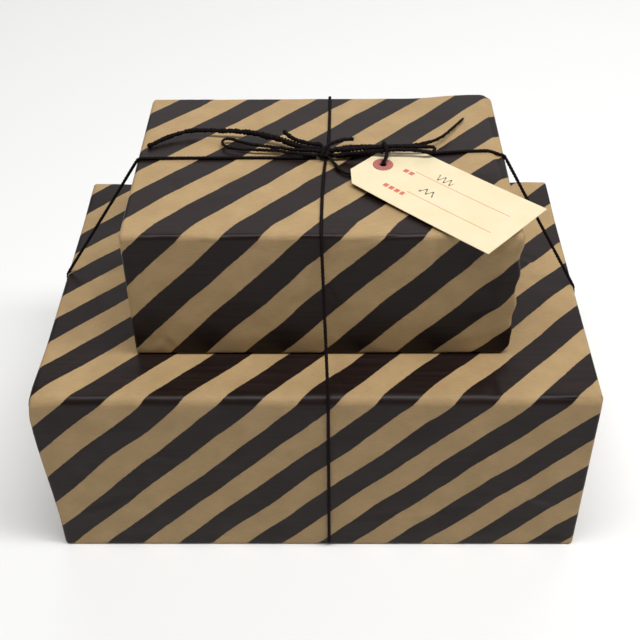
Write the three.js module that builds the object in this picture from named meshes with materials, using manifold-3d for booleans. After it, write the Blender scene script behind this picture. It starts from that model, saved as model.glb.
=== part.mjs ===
// A pair of paper wrapped parcels, the small one on top of the large one, tied together with one
// length of twine that ends in a bow, with a strung card tag. Millimetres, +Z up. The origin is the
// centre of the large parcel's base, +X is the parcel's length and -Y is its front.
import * as THREE from 'three';
import { mergeVertices } from 'three/addons/utils/BufferGeometryUtils.js';
import Module from 'manifold-3d';

const wasm = await Module();
wasm.setup();

// ---------------------------------------------------------------- driving dimensions
const GAP = 0.3;                 // clearance kept between pieces that touch
const FOLD = 1.2;                // how far the folded end flaps stand off the end of a parcel
// edge and foot round the long edges above and below; endEdge and endRoll round those at the ends.
const LOWER = { width: 366, depth: 250.4, height: 145.5, edge: 6, foot: 2.5, endEdge: 2.5, endRoll: 4, flap: 90 };
const UPPER = { width: 246.6, depth: 173.2, height: 96.6, edge: 3.5, foot: 2.5, endEdge: 2.5, endRoll: 4, flap: 60 };
const UPPER_X = 3;               // the small parcel sits a little right of the middle
const UPPER_Y = 5;               // and a little back
const UPPER_Z = LOWER.height + GAP;
const TOP = UPPER_Z + UPPER.height;

// Loose paper at the right end: it rises slowly along the length, and falls off just before the end.
const PUFF = { from: 64, full: 110, fall: 116, to: 122, height: 2.5, front: -45, back: -12 };

const TWINE_RADIUS = 1.0;
const TWINE_SIDES = 8;
const LAY = TWINE_RADIUS + GAP;  // from a face to the middle of the twine that lies on it
const SUNK = 1.05;               // height of the twine's middle above the base, pressed into it
const CROSSING = 2.4;            // how much higher the side band goes where the bands cross below
const CROSSING_PIT = { x: 8, y: -1, width: 14, depth: 5, height: 3.2 };
const GROOVE_RADIUS = 1.28;

const KNOT = { x: 6.5, y: 8.5, z: TOP + 3.2, ring: 3, tube: 1.2, squash: 0.85 };
const KNOT_REACH = 6.3;          // from the knot's middle to where each band starts

const TAPE = { width: 19, length: 50, thick: 0.3 };
const SEAM = { x: -90, y: 50, pocket: 0.9 };

const TAG = { length: 120.65, width: 60.3, thick: 0.33, clip: 11.5, holeFromEnd: 12 };
const TAG_HOLE = { x: 44.2, y: -6.6 };
const TAG_ANGLE = -42.95;        // degrees, from the hole end towards the free end
const TAG_RISE = { hole: 3.8, free: 2.6, sag: 0.6 };       // height of the card's middle above the top
const TAG_TILT = { hole: 0, free: 0.03 };                  // slope across the card, which twists a little
const PATCH = { radius: 6.75, hole: 2.5, thick: 0.3 };

// Each strand of the bow: [x, y, height above the small parcel's top], from the knot outwards.
const BOW_LOOP_LEFT = [
  [0, 8.5, 5.2], [-9.5, 10, 5], [-19, 11.8, 4.8], [-28, 14.5, 4.6], [-37, 16.8, 4.4], [-45, 19.5, 4.2],
  [-52, 23, 4], [-58, 26.6, 3.8], [-61.5, 27.4, 3.6], [-64, 25.2, 3.4], [-63.4, 20.6, 3.2], [-60, 17.2, 3.2],
  [-51.5, 14.7, 3.2], [-43.5, 13.7, 3.2], [-34.5, 13, 3.4], [-26, 11.6, 3.6], [-17.5, 9.2, 3.6],
  [-9.5, 7.2, 3.6], [0, 6, 3.5],
];
const BOW_LOOP_RIGHT = [
  [12.7, 8.6, 5.8], [20, 7, 7], [28, 6.3, 8.2], [36.5, 6.1, 9], [45, 6.2, 9.5], [53, 6.4, 9.7], [61, 6.3, 9.7],
  [68.5, 6.3, 9.4], [74, 7.4, 8.8], [77.8, 8, 8.2], [79.2, 6, 7.6], [77.4, 3.2, 7.4], [73.5, 2.4, 7.8],
  [68, 3, 8.4], [62.5, 3.4, 8.8], [54.5, 3.5, 8.8], [46.5, 3.4, 8.5], [38, 4, 7.4], [29, 4.7, 6],
  [20.5, 5.2, 4.8], [12.2, 5.2, 3.8],
];
const TAIL_LEFT = [
  [0.5, 12.6, 4.6], [-5.5, 12.6, 4.9], [-11.5, 15, 5.1], [-18, 19, 5.2], [-24, 23, 5.4], [-32, 27, 5.4],
  [-41, 31.2, 5.3], [-50.5, 34, 5.2], [-61, 35.5, 5], [-72.5, 36.7, 4.8], [-83, 37.6, 4.4], [-90.5, 36.5, 4],
  [-97, 33.7, 3.5], [-103.5, 29.8, 3], [-109.5, 25.5, 2.3], [-115, 21, 1.5],
];
const TAIL_RIGHT = [
  [12.2, 11.3, 4.6], [19.5, 12.3, 5.4], [27.5, 12.2, 6.2], [36, 11.6, 6.6], [44.5, 11.4, 6.7], [53.5, 11.9, 6.6],
  [61.5, 12.9, 6.4], [69, 14.8, 6.2], [76, 18, 5.9], [82, 22.4, 5.5], [86.6, 27.8, 5.1], [91, 34.2, 4.8],
  [95.5, 41.4, 4.5], [99.6, 48.2, 4.2], [102.5, 53, 4],
];
const STUB_LEFT = [
  [3, 14.6, 6], [-2, 14.8, 7], [-6.5, 15, 7.6], [-10, 16, 8], [-13, 17.8, 8.1], [-16, 20.6, 8],
  [-18.5, 24.2, 7.7], [-20.5, 28, 7.2], [-22.2, 31.8, 6.6],
];
const STUB_RIGHT = [
  [3.2, 2.4, 4.2], [4, 3.6, 6], [5, 6, 7.2], [6.2, 9, 7.5], [7.4, 11.8, 7.2], [8.8, 14.4, 6.6], [10.6, 16.4, 6.3],
  [12.9, 18.4, 6.2], [15.6, 20, 6.1], [18.5, 21.4, 6], [22, 22.7, 5.6], [25.4, 24, 5],
];
const TAG_TIE = [
  [9.5, 1.8, 2.8], [11, -0.4, 2.4], [12.8, -3.8, 2], [15, -8, 1.6], [18, -11.8, 1.4], [22.5, -14.4, 1.35],
  [29, -14.2, 1.35], [35.3, -11.6, 1.35], [39.4, -9.2, 1.35], [42.6, -7.6, 1.45], [44, -6.8, 2.8], [44.4, -6.3, 4.8],
  [45.2, -5.1, 6.4], [46.3, -3.2, 7.5], [46.9, -1.4, 8], [46.8, 0.4, 8.6], [46.3, 2.2, 10.6], [45.8, 4.6, 11.9],
  [45.4, 7.2, 12], [45, 9.1, 10.4], [44.6, 8.7, 8], [44.2, 6.4, 6.8], [43.8, 3.8, 5.9],
];

// ---------------------------------------------------------------- solids
function toSolid(geometry) {
  const bare = geometry.clone();
  for (const name of ['normal', 'uv']) {
    bare.deleteAttribute(name);
  }
  const merged = mergeVertices(bare, 1e-5);
  const vertProperties = new Float32Array(merged.attributes.position.array);
  const triVerts = new Uint32Array(merged.index.array);
  return new wasm.Manifold(new wasm.Mesh({ numProp: 3, vertProperties, triVerts }));
}

function fromSolid(solid) {
  const { vertProperties, triVerts } = solid.getMesh();
  const geometry = new THREE.BufferGeometry();
  geometry.setAttribute('position', new THREE.BufferAttribute(vertProperties, 3));
  geometry.setIndex(new THREE.BufferAttribute(triVerts, 1));
  geometry.computeVertexNormals();
  return geometry;
}

function box(sizeX, sizeY, sizeZ, x, y, z) {
  return new THREE.BoxGeometry(sizeX, sizeY, sizeZ).translate(x, y, z);
}

// ---------------------------------------------------------------- parcels
// How far a face has pulled in at a distance from the end, when it rolls over on a radius.
function rollInset(distance, radius) {
  if (distance >= radius) {
    return 0;
  }
  return radius - Math.sqrt(radius ** 2 - (radius - distance) ** 2);
}

function smoothstep(from, to, value) {
  return THREE.MathUtils.smoothstep(value, from, to);
}

// The loose paper stands up a little towards the right end, behind the tag.
function puffRise(x, y) {
  const along = smoothstep(PUFF.from, PUFF.full, x) * (1 - smoothstep(PUFF.fall, PUFF.to, x));
  return PUFF.height * along * smoothstep(PUFF.front, PUFF.back, y);
}

// One cross-section: a rectangle with round corners, its top edge in short steps.
function sectionPoints(size, distance, x, rise) {
  const side = rollInset(distance, size.endEdge);
  const roll = rollInset(distance, size.endRoll);
  const half = size.depth / 2 - side;
  const low = side;
  const high = size.height - roll;
  const points = [];
  const corner = (y, z, radius, start) => {
    for (let i = 0; i <= 4; i += 1) {
      const turn = start + (i / 4) * Math.PI / 2;
      points.push([y + radius * Math.cos(turn), z + radius * Math.sin(turn)]);
    }
  };
  corner(half - size.edge, high - size.edge, size.edge, 0);
  for (let i = 1; i < 14; i += 1) {
    points.push([(half - size.edge) * (1 - i / 7), high]);
  }
  corner(-half + size.edge, high - size.edge, size.edge, Math.PI / 2);
  corner(-half + size.foot, low + size.foot, size.foot, Math.PI);
  corner(half - size.foot, low + size.foot, size.foot, Math.PI * 1.5);
  return points.map(([y, z]) => {
    const lift = z > size.height / 2 ? rise(x, y) : 0;
    return new THREE.Vector3(x, y, z + lift);
  });
}

// A closed skin over rings of points that all have the same count, fanned shut at both ends.
function loftRings(rings) {
  const count = rings[0].length;
  const positions = rings.flat().flatMap((point) => point.toArray());
  const index = [];
  for (let r = 0; r + 1 < rings.length; r += 1) {
    for (let i = 0; i < count; i += 1) {
      const a = r * count + i;
      const b = r * count + (i + 1) % count;
      index.push(a, b, a + count, b, b + count, a + count);
    }
  }
  [0, rings.length - 1].forEach((r) => {
    const middle = positions.length / 3;
    const centre = rings[r].reduce((sum, point) => sum.add(point), new THREE.Vector3());
    positions.push(...centre.divideScalar(count).toArray());
    for (let i = 0; i < count; i += 1) {
      const a = r * count + i;
      const b = r * count + (i + 1) % count;
      index.push(...(r === 0 ? [b, a, middle] : [a, b, middle]));
    }
  });
  const geometry = new THREE.BufferGeometry();
  geometry.setAttribute('position', new THREE.Float32BufferAttribute(positions, 3));
  geometry.setIndex(index);
  return geometry;
}

function parcelStations(size) {
  const ends = [0, 0.12, 0.5, 1.2, 2.4, size.endRoll];
  const half = size.width / 2;
  const left = ends.map((distance) => -half + distance);
  const right = ends.map((distance) => half - distance).reverse();
  const between = [];
  for (let x = PUFF.from - UPPER_X; x < half - 9; x += 6) {
    between.push(x);
  }
  return [...left, ...between, ...right].map((x) => ({ x, distance: half - Math.abs(x) }));
}

// A flap folded over the end: a plate that narrows at 45 degrees, from its fold to its free edge.
function endFlap(size, side, rootZ, tipZ, stand) {
  const root = size.depth / 2 - 2 * size.endEdge;
  const tip = root - Math.abs(tipZ - rootZ);
  const outline = new THREE.Shape([
    new THREE.Vector2(-root, rootZ), new THREE.Vector2(root, rootZ),
    new THREE.Vector2(tip, tipZ), new THREE.Vector2(-tip, tipZ),
  ]);
  const plate = new THREE.ExtrudeGeometry(outline, { depth: stand + 1, bevelEnabled: false });
  const face = size.width / 2;
  const turn = new THREE.Matrix4().makeBasis(
    new THREE.Vector3(0, 1, 0), new THREE.Vector3(0, 0, 1), new THREE.Vector3(1, 0, 0));
  plate.applyMatrix4(turn);
  plate.translate(side > 0 ? face - 1 : -face - stand, 0, 0);
  return plate;
}

function parcelSolid(size, rise) {
  const rings = parcelStations(size).map(({ x, distance }) => sectionPoints(size, distance, x, rise));
  let solid = toSolid(loftRings(rings));
  const low = size.foot + size.endEdge;
  const high = size.height - size.endRoll - size.edge;
  for (const side of [-1, 1]) {
    solid = solid.add(toSolid(endFlap(size, side, low, low + size.flap - 8, FOLD / 2)));
    solid = solid.add(toSolid(endFlap(size, side, high, size.height - size.flap, FOLD)));
  }
  return solid;
}

function seamPocket(x, y) {
  const margin = 2 * GAP;
  return toSolid(box(TAPE.length + margin, TAPE.width + margin, 2 * SEAM.pocket, x, y, 0));
}

function lowerParcel() {
  let solid = parcelSolid(LOWER, () => 0);
  for (const route of [frontBackRoute(), sideRoute()]) {
    solid = solid.subtract(toSolid(tube(route, GROOVE_RADIUS)));
  }
  const { x, y, width, depth, height } = CROSSING_PIT;
  const pit = toSolid(box(width, depth, 2 * height, x, y, 0));
  return fromSolid(solid.subtract(pit).subtract(seamPocket(SEAM.x, SEAM.y)));
}

function upperParcel() {
  const rise = (x, y) => puffRise(x + UPPER_X, y + UPPER_Y);
  const solid = parcelSolid(UPPER, rise).subtract(seamPocket(0, 0));
  return fromSolid(solid).translate(UPPER_X, UPPER_Y, UPPER_Z);
}

// ---------------------------------------------------------------- tape
function endTape(size, side, y, z) {
  const x = side * (size.width / 2 + FOLD + GAP + TAPE.thick / 2);
  return box(TAPE.thick, TAPE.width, TAPE.length, x, y, z);
}

function seamTape(x, y, baseZ) {
  return box(TAPE.length, TAPE.width, TAPE.thick, x, y, baseZ + GAP + TAPE.thick / 2);
}

// ---------------------------------------------------------------- twine
// A curve whose steps follow its points, so that close points give a bend close steps.
class Route extends THREE.CatmullRomCurve3 {
  getUtoTmapping(u) {
    return u;
  }
}

function tube(points, radius, stepsPerPoint = 2) {
  const section = new THREE.Shape();
  for (let i = 0; i < TWINE_SIDES; i += 1) {
    const turn = (i / TWINE_SIDES) * 2 * Math.PI;
    const place = [radius * Math.cos(turn), radius * Math.sin(turn)];
    section[i === 0 ? 'moveTo' : 'lineTo'](...place);
  }
  section.closePath();
  const route = new Route(points.map((point) => new THREE.Vector3(...point)), false, 'centripetal');
  const steps = (points.length - 1) * stepsPerPoint;
  return new THREE.ExtrudeGeometry(section, { steps, extrudePath: route, bevelEnabled: false });
}

// Points round a corner in the plane of a band: turn 0 is straight up and 90 degrees is outwards.
function cornerPoints(out, up, radius, fromTurn, toTurn, count) {
  const points = [];
  for (let i = 0; i < count; i += 1) {
    const turn = THREE.MathUtils.degToRad(THREE.MathUtils.lerp(fromTurn, toTurn, i / (count - 1)));
    points.push([out + radius * Math.sin(turn), up + radius * Math.cos(turn)]);
  }
  return points;
}

// The taut way down one side of the pair, [outwards, up], from the top to just above the base.
function tautSide(upperHalf, upperRoll, lowerHalf, lowerRoll) {
  const upperCorner = [upperHalf - upperRoll, TOP - upperRoll];
  const lowerCorner = [lowerHalf - lowerRoll, LOWER.height - lowerRoll];
  const run = [lowerCorner[0] - upperCorner[0], upperCorner[1] - lowerCorner[1]];
  const slope = THREE.MathUtils.radToDeg(Math.atan2(run[1], run[0]));
  const upper = cornerPoints(...upperCorner, upperRoll + LAY, 0, slope, 5);
  const lower = cornerPoints(...lowerCorner, lowerRoll + LAY, slope, 90, 4);
  const [endOut, endUp] = upper.at(-1);
  const air = [0.35, 0.7].map((t) => [
    THREE.MathUtils.lerp(endOut, lower[0][0], t), THREE.MathUtils.lerp(endUp, lower[0][1], t)]);
  const face = [[lowerHalf + LAY, 95], [lowerHalf + LAY, 50], [lowerHalf + LAY, 14]];
  const foot = [
    [lowerHalf + 1, 5], [lowerHalf - 0.4, 2.3], [lowerHalf - 2.8, 1.25], [lowerHalf - 8, SUNK],
    [lowerHalf - 14, SUNK], [lowerHalf - 24, SUNK]];
  return [...upper, ...air, ...lower, ...face, ...foot];
}

// A sideways place that changes evenly while the twine crosses the air between the two parcels.
function slant(z, below, above) {
  const share = (z - LOWER.height) / UPPER.height;
  return THREE.MathUtils.lerp(below, above, THREE.MathUtils.clamp(share, 0, 1));
}

// Front to back: from the knot forwards, down the front, under the base, up the back, to the knot.
function frontBackRoute() {
  const lay = TOP + LAY;
  const front = tautSide(UPPER.depth / 2 - UPPER_Y, UPPER.edge, LOWER.depth / 2, LOWER.edge);
  const back = tautSide(UPPER.depth / 2 + UPPER_Y, UPPER.edge, LOWER.depth / 2, LOWER.edge);
  return [
    [KNOT.x - 0.3, KNOT.y - KNOT_REACH, lay], [5.4, -9, lay], [4.6, -27, lay], [4.1, -52, lay],
    ...front.map(([out, z]) => [slant(z, 7.8, 3.9), -out, z]),
    [8, -60, SUNK], [8, 0, SUNK], [8, 60, SUNK],
    ...back.reverse().map(([out, z]) => [slant(z, 8.4, 9), out, z]),
    [8.9, 62, lay], [8.4, 35, lay], [KNOT.x + 1, KNOT.y + KNOT_REACH, lay],
  ];
}

// Side to side: from the knot to the left, down, under the base, up the right end, to the knot.
function sideRoute() {
  const lay = TOP + LAY;
  const over = (x) => lay + GAP + puffRise(x, 11);
  const lowerHalf = LOWER.width / 2 + FOLD;
  const left = tautSide(UPPER.width / 2 - UPPER_X, UPPER.endRoll, lowerHalf, LOWER.endRoll);
  const right = tautSide(UPPER.width / 2 + UPPER_X, UPPER.endRoll, lowerHalf, LOWER.endRoll);
  const under = [
    [-60, 5, 0], [-7.5, 0.1, 0], [-6, 0, 0], [2, -0.5, 0.7], [8, -1, 1], [14, -1.5, 0.7],
    [22, -2, 0], [23.5, -2.1, 0], [80, -6, 0]];
  return [
    [KNOT.x - KNOT_REACH, 6.6, lay], [-25, 6.9, lay], [-75, 7.1, lay],
    ...left.map(([out, z]) => [-out, slant(z, 9, 6.6), z]),
    ...under.map(([x, y, rise]) => [x, y, SUNK + CROSSING * rise]),
    ...right.reverse().map(([out, z]) => [out, slant(z, -12, 9.6), z]),
    ...[119, 115, 109, 102, 95, 88, 81, 74].map((x) => [x, 10.6, over(x)]),
    [60, 11.6, lay], [42, 11.4, lay], [27, 10, lay], [KNOT.x + KNOT_REACH, 8, lay],
  ];
}

function strand(points, stepsPerPoint = 2) {
  return tube(points.map(([x, y, height]) => [x, y, TOP + height]), TWINE_RADIUS, stepsPerPoint);
}

function knot() {
  const geometry = new THREE.TorusKnotGeometry(KNOT.ring, KNOT.tube, 72, 8, 2, 3);
  return geometry.scale(1, 1, KNOT.squash).translate(KNOT.x, KNOT.y, KNOT.z);
}

// ---------------------------------------------------------------- tag
function tagHeight(along) {
  const share = along / TAG.length;
  return THREE.MathUtils.lerp(TAG_RISE.hole, TAG_RISE.free, share) - TAG_RISE.sag * Math.sin(Math.PI * share);
}

function tagTilt(along) {
  return THREE.MathUtils.lerp(TAG_TILT.hole, TAG_TILT.free, along / TAG.length);
}

// A strip as wide as the card, as thick as asked, that follows the card's bend at an offset.
function bentStrip(offset, thick) {
  const stations = [];
  for (let along = -2; along <= TAG.length + 2; along += 6) {
    stations.push(along);
  }
  const edge = (shift) => stations.map((along) => new THREE.Vector2(along, tagHeight(along) + shift));
  const outline = [...edge(offset - thick / 2), ...edge(offset + thick / 2).reverse()];
  const depth = TAG.width + 4;
  const strip = new THREE.ExtrudeGeometry(new THREE.Shape(outline), { depth, bevelEnabled: false });
  return strip.rotateX(Math.PI / 2).translate(0, depth / 2, 0);
}

function prism(outline) {
  return new THREE.ExtrudeGeometry(outline, { depth: 20, bevelEnabled: false, curveSegments: 16 })
    .translate(0, 0, -5);
}

function circleHole(radius) {
  return new THREE.Path().absarc(TAG.holeFromEnd, 0, radius, 0, 2 * Math.PI, true);
}

function tagOutline() {
  const half = TAG.width / 2;
  const outline = new THREE.Shape([
    new THREE.Vector2(0, half - TAG.clip), new THREE.Vector2(0, TAG.clip - half),
    new THREE.Vector2(TAG.clip, -half), new THREE.Vector2(TAG.length, -half),
    new THREE.Vector2(TAG.length, half), new THREE.Vector2(TAG.clip, half),
  ]);
  outline.holes.push(circleHole(PATCH.hole));
  return outline;
}

function patchOutline() {
  const outline = new THREE.Shape().absarc(TAG.holeFromEnd, 0, PATCH.radius, 0, 2 * Math.PI, false);
  outline.holes.push(circleHole(PATCH.hole));
  return outline;
}

function tagPiece(outline, offset, thick) {
  const geometry = fromSolid(toSolid(bentStrip(offset, thick)).intersect(toSolid(prism(outline))));
  const places = geometry.attributes.position;
  for (let i = 0; i < places.count; i += 1) {
    places.setZ(i, places.getZ(i) + places.getY(i) * tagTilt(places.getX(i)));
  }
  return geometry
    .translate(-TAG.holeFromEnd, 0, 0)
    .rotateZ(THREE.MathUtils.degToRad(TAG_ANGLE))
    .translate(TAG_HOLE.x, TAG_HOLE.y, TOP);
}

// ---------------------------------------------------------------- materials and assembly
const paper = { color: 0x8a6848, roughness: 0.6 };
const tape = { color: 0xd8ccb4, roughness: 0.25 };
const twine = { color: 0x1d1b1c, roughness: 0.9 };
const card = { color: 0xe8dcc2, roughness: 0.8 };
const fibre = { color: 0xb23a30, roughness: 0.8 };

const object = new THREE.Group();

function add(name, geometry, finish) {
  const mesh = new THREE.Mesh(geometry, new THREE.MeshStandardMaterial({ ...finish, metalness: 0 }));
  mesh.name = name;
  object.add(mesh);
}

add('lower_parcel', lowerParcel(), paper);
add('upper_parcel', upperParcel(), paper);

const lowerTip = LOWER.height - LOWER.flap;
const upperTip = UPPER_Z + UPPER.height - UPPER.flap;
add('lower_left_end_tape', endTape(LOWER, -1, -20, lowerTip), tape);
add('lower_right_end_tape', endTape(LOWER, 1, 16, lowerTip), tape);
add('upper_left_end_tape', endTape(UPPER, -1, UPPER_Y, upperTip).translate(UPPER_X, 0, 0), tape);
add('upper_right_end_tape', endTape(UPPER, 1, UPPER_Y, upperTip).translate(UPPER_X, 0, 0), tape);
add('lower_seam_tape', seamTape(SEAM.x, SEAM.y, 0), tape);
add('upper_seam_tape', seamTape(UPPER_X, UPPER_Y, UPPER_Z), tape);

add('twine_front_back_band', tube(frontBackRoute(), TWINE_RADIUS), twine);
add('twine_side_band', tube(sideRoute(), TWINE_RADIUS), twine);
add('knot', knot(), twine);
add('bow_loop_left', strand(BOW_LOOP_LEFT), twine);
add('bow_loop_right', strand(BOW_LOOP_RIGHT), twine);
add('tail_left', strand(TAIL_LEFT), twine);
add('tail_right', strand(TAIL_RIGHT), twine);
add('stub_left', strand(STUB_LEFT), twine);
add('stub_right', strand(STUB_RIGHT), twine);
add('tag_tie', strand(TAG_TIE), twine);

const patchOffset = TAG.thick / 2 + GAP + PATCH.thick / 2;
add('tag_card', tagPiece(tagOutline(), 0, TAG.thick), card);
add('tag_patch_front', tagPiece(patchOutline(), patchOffset, PATCH.thick), fibre);
add('tag_patch_back', tagPiece(patchOutline(), -patchOffset, PATCH.thick), fibre);

export default object;
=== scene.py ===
"""A pair of paper wrapped parcels tied with one length of twine: a small one on a large one, both in
striped kraft wrap, with a loose bow and a strung card tag. Shapes are worked out in millimetres in
the parcels' own frame (+X their length, -Y their front, +Z up) and become metres in make_piece."""

import math
from types import SimpleNamespace

import bmesh
import bpy
import numpy as np
from mathutils import Matrix, Vector


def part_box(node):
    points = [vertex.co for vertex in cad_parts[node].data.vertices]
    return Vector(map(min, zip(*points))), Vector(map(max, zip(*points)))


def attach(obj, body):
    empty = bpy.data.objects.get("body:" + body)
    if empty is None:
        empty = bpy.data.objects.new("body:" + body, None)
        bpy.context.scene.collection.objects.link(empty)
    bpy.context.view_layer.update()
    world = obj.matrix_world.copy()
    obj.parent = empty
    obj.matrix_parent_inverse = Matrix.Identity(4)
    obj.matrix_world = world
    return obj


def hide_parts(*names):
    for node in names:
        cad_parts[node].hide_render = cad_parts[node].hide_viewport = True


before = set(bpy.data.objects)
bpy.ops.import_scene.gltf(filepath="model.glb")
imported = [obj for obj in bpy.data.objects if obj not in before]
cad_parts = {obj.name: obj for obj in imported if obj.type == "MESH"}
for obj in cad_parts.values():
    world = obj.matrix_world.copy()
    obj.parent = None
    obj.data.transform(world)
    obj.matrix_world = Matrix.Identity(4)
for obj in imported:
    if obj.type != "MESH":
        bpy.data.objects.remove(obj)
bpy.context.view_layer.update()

MM = 0.001
FULL_TURN = 2 * math.pi


# ------------------------------------------------------------------ view
def add_camera():
    """A long lens held above the front of the pair, looking down on it at 40 degrees."""
    data = bpy.data.cameras.new("camera")
    data.sensor_width = 36
    data.lens = 60.8
    data.clip_start = 0.02
    data.clip_end = 60
    camera = bpy.data.objects.new("camera", data)
    bpy.context.scene.collection.objects.link(camera)
    look_down = 0.702017
    place = Matrix.Translation((0.0114, -0.61707, 0.62848))
    heading = Matrix.Rotation(0.016507, 4, "Z")
    tip = Matrix.Rotation(math.pi / 2 - look_down, 4, "X")
    roll = Matrix.Rotation(-0.0128136, 4, "Z")
    camera.matrix_world = place @ heading @ tip @ roll
    bpy.context.scene.camera = camera


add_camera()


# ------------------------------------------------------------------ sizes, millimetres
def box_mm(node):
    """The low and the high corner of a CAD node's box, in millimetres."""
    return np.array(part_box(node)) / MM


FOLD = 1.2            # how far the folded end flaps stand off the end of a parcel
SMALL_HEIGHT = 96.6   # the small parcel without the loose paper that stands up at its right end
PAPER_STEP = 2.5      # spacing of the mesh over a face


def parcel_size(node, height, **rounding):
    """A parcel's size and place from its box, which holds the flaps folded over both ends. The
    rounding is the radii of its long edges, its feet and its ends, with the flaps' reach and the seam."""
    low, high = box_mm(node)
    middle = (low + high) / 2
    return SimpleNamespace(
        width=high[0] - low[0] - 2 * FOLD,
        depth=high[1] - low[1],
        height=height or high[2] - low[2],
        place=np.array([middle[0], middle[1], low[2]]),
        **rounding)


ENDS = {"foot": 2.5, "end_edge": 2.0, "end_roll": 2.6}
LARGE = parcel_size("lower_parcel", None, edge=6.0, flap=90.0, seam=50.0, **ENDS)
SMALL = parcel_size("upper_parcel", SMALL_HEIGHT, edge=3.5, flap=60.0, seam=0.0, **ENDS)
TOP = SMALL.place[2] + SMALL.height

TWINE = 1.0           # radius
SUNK = 1.05           # height of the twine's middle above the base, pressed into it
CROSSING = 2.4        # how much higher the side band goes where the bands cross underneath
KNOT = np.array([6.5, 8.5, TOP + 3.2])
KNOT_REACH = 6.3      # from the knot's middle to where the bands leave it
KNOT_RING = 3.0       # radius of the knot's turns
BITE = 0.4            # how deep the side band bites into the large parcel's end edges
BAND_GIRTH = 1.15     # the plies' reach on the bands: the slubs are thicker than the twine's 2 mm
BAND_X = 8.0          # where the front and back band passes underneath

# ------------------------------------------------------------------ strands of the bow
# [x, y, height above the small parcel's top], from the knot outwards. A loop comes back to it.
BOW_LOOP_LEFT = [
    [0, 8.5, 5.2], [-9.5, 10, 5], [-19, 11.8, 4.8], [-28, 14.5, 4.6], [-37, 16.8, 4.4],
    [-45, 19.5, 4.2], [-52, 23, 4], [-58, 26.6, 3.8], [-61.5, 27.4, 3.6], [-64, 25.2, 3.4],
    [-63.4, 20.6, 3.2], [-60, 17.2, 3.2], [-51.5, 14.7, 3.2], [-43.5, 13.7, 3.2], [-34.5, 13, 3.4],
    [-26, 11.6, 3.6], [-17.5, 9.2, 3.6], [-9.5, 7.2, 3.6], [0, 6, 3.5],
]
BOW_LOOP_RIGHT = [
    [12.7, 8.6, 5.8], [20, 7, 7], [28, 6.3, 8.2], [36.5, 6.1, 9], [45, 6.2, 9.5], [53, 6.4, 9.7],
    [61, 6.3, 9.7], [68.5, 6.3, 9.4], [74, 7.4, 8.8], [77.8, 8, 8.2], [79.2, 6, 7.6], [77.4, 3.2, 7.4],
    [73.5, 2.4, 7.8], [68, 3, 8.4], [62.5, 3.4, 8.8], [54.5, 3.5, 8.8], [46.5, 3.4, 8.5], [38, 4, 7.4],
    [29, 4.7, 6], [20.5, 5.2, 4.8], [12.2, 5.2, 3.8],
]
TAIL_LEFT = [
    [0.5, 12.6, 4.6], [-5.5, 12.6, 4.9], [-11.5, 15, 5.1], [-18, 19, 5.2], [-24, 23, 5.4],
    [-32, 27, 5.4], [-41, 31.2, 5.3], [-50.5, 34, 5.2], [-61, 35.5, 5], [-72.5, 36.7, 4.8],
    [-83, 37.6, 4.4], [-90.5, 36.5, 4], [-97, 33.7, 3.5], [-103.5, 29.8, 3], [-109.5, 25.5, 2.3],
    [-115, 21, 1.5],
]
TAIL_RIGHT = [
    [12.2, 11.3, 4.6], [19.5, 12.3, 5.4], [27.5, 12.2, 6.2], [36, 11.6, 6.6], [44.5, 11.4, 6.7],
    [53.5, 11.9, 6.6], [61.5, 12.9, 6.4], [69, 14.8, 6.2], [76, 18, 5.9], [82, 22.4, 5.5],
    [86.6, 27.8, 5.1], [91, 34.2, 4.8], [95.5, 41.4, 4.5], [99.6, 48.2, 4.2], [102.5, 53, 4],
]
STUB_LEFT = [
    [3, 14.6, 6], [-2, 14.8, 7], [-6.5, 15, 7.6], [-10, 16, 8], [-13, 17.8, 8.1], [-16, 20.6, 8],
    [-18.5, 24.2, 7.7], [-20.5, 28, 7.2], [-22.2, 31.8, 6.6],
]
STUB_RIGHT = [
    [3.2, 2.4, 4.2], [4, 3.6, 6], [5, 6, 7.2], [6.2, 9, 7.5], [7.4, 11.8, 7.2], [8.8, 14.4, 6.6],
    [10.6, 16.4, 6.3], [12.9, 18.4, 6.2], [15.6, 20, 6.1], [18.5, 21.4, 6], [22, 22.7, 5.6],
    [25.4, 24, 5],
]
TAG_TIE = [
    [9.5, 1.8, 2.8], [11, -0.4, 2.4], [12.8, -3.8, 2], [15, -8, 1.6], [18, -11.8, 1.4],
    [22.5, -14.4, 1.35], [29, -14.2, 1.35], [35.3, -11.6, 1.35], [39.4, -9.2, 1.35], [42.6, -7.6, 1.45],
    [44, -6.8, 2.8], [44.4, -6.3, 4.8], [45.2, -5.1, 6.4], [46.3, -3.2, 7.5], [46.9, -1.4, 8],
    [46.8, 0.4, 8.6], [46.3, 2.2, 10.6], [45.8, 4.6, 11.9], [45.4, 7.2, 12], [45, 9.1, 10.4],
    [44.6, 8.7, 8], [44.2, 6.4, 6.8], [43.8, 3.8, 5.9],
]


# ------------------------------------------------------------------ meshes
def smoothstep(low, high, value):
    """0 below low, 1 above high and 3t^2 - 2t^3 between them."""
    share = np.clip((value - low) / (high - low), 0, 1)
    return share * share * (3 - 2 * share)


def grid_faces(rows, columns, round_rows=False, round_columns=False):
    """The quads of a grid of vertices numbered row by row; a round grid's last line meets its first."""
    row, column = np.meshgrid(
        np.arange(rows if round_rows else rows - 1),
        np.arange(columns if round_columns else columns - 1), indexing="ij")
    next_row = (row + 1) % rows * columns
    next_column = (column + 1) % columns
    this_row = row * columns
    corners = [this_row + column, this_row + next_column, next_row + next_column, next_row + column]
    return np.stack(corners, -1).reshape(-1, 4)


def grid_corners(values):
    """The four corner values of each quad of a grid of values."""
    corners = [values[:-1, :-1], values[:-1, 1:], values[1:, 1:], values[1:, :-1]]
    return np.stack(corners, 2).reshape(-1, 4, values.shape[-1])


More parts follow.
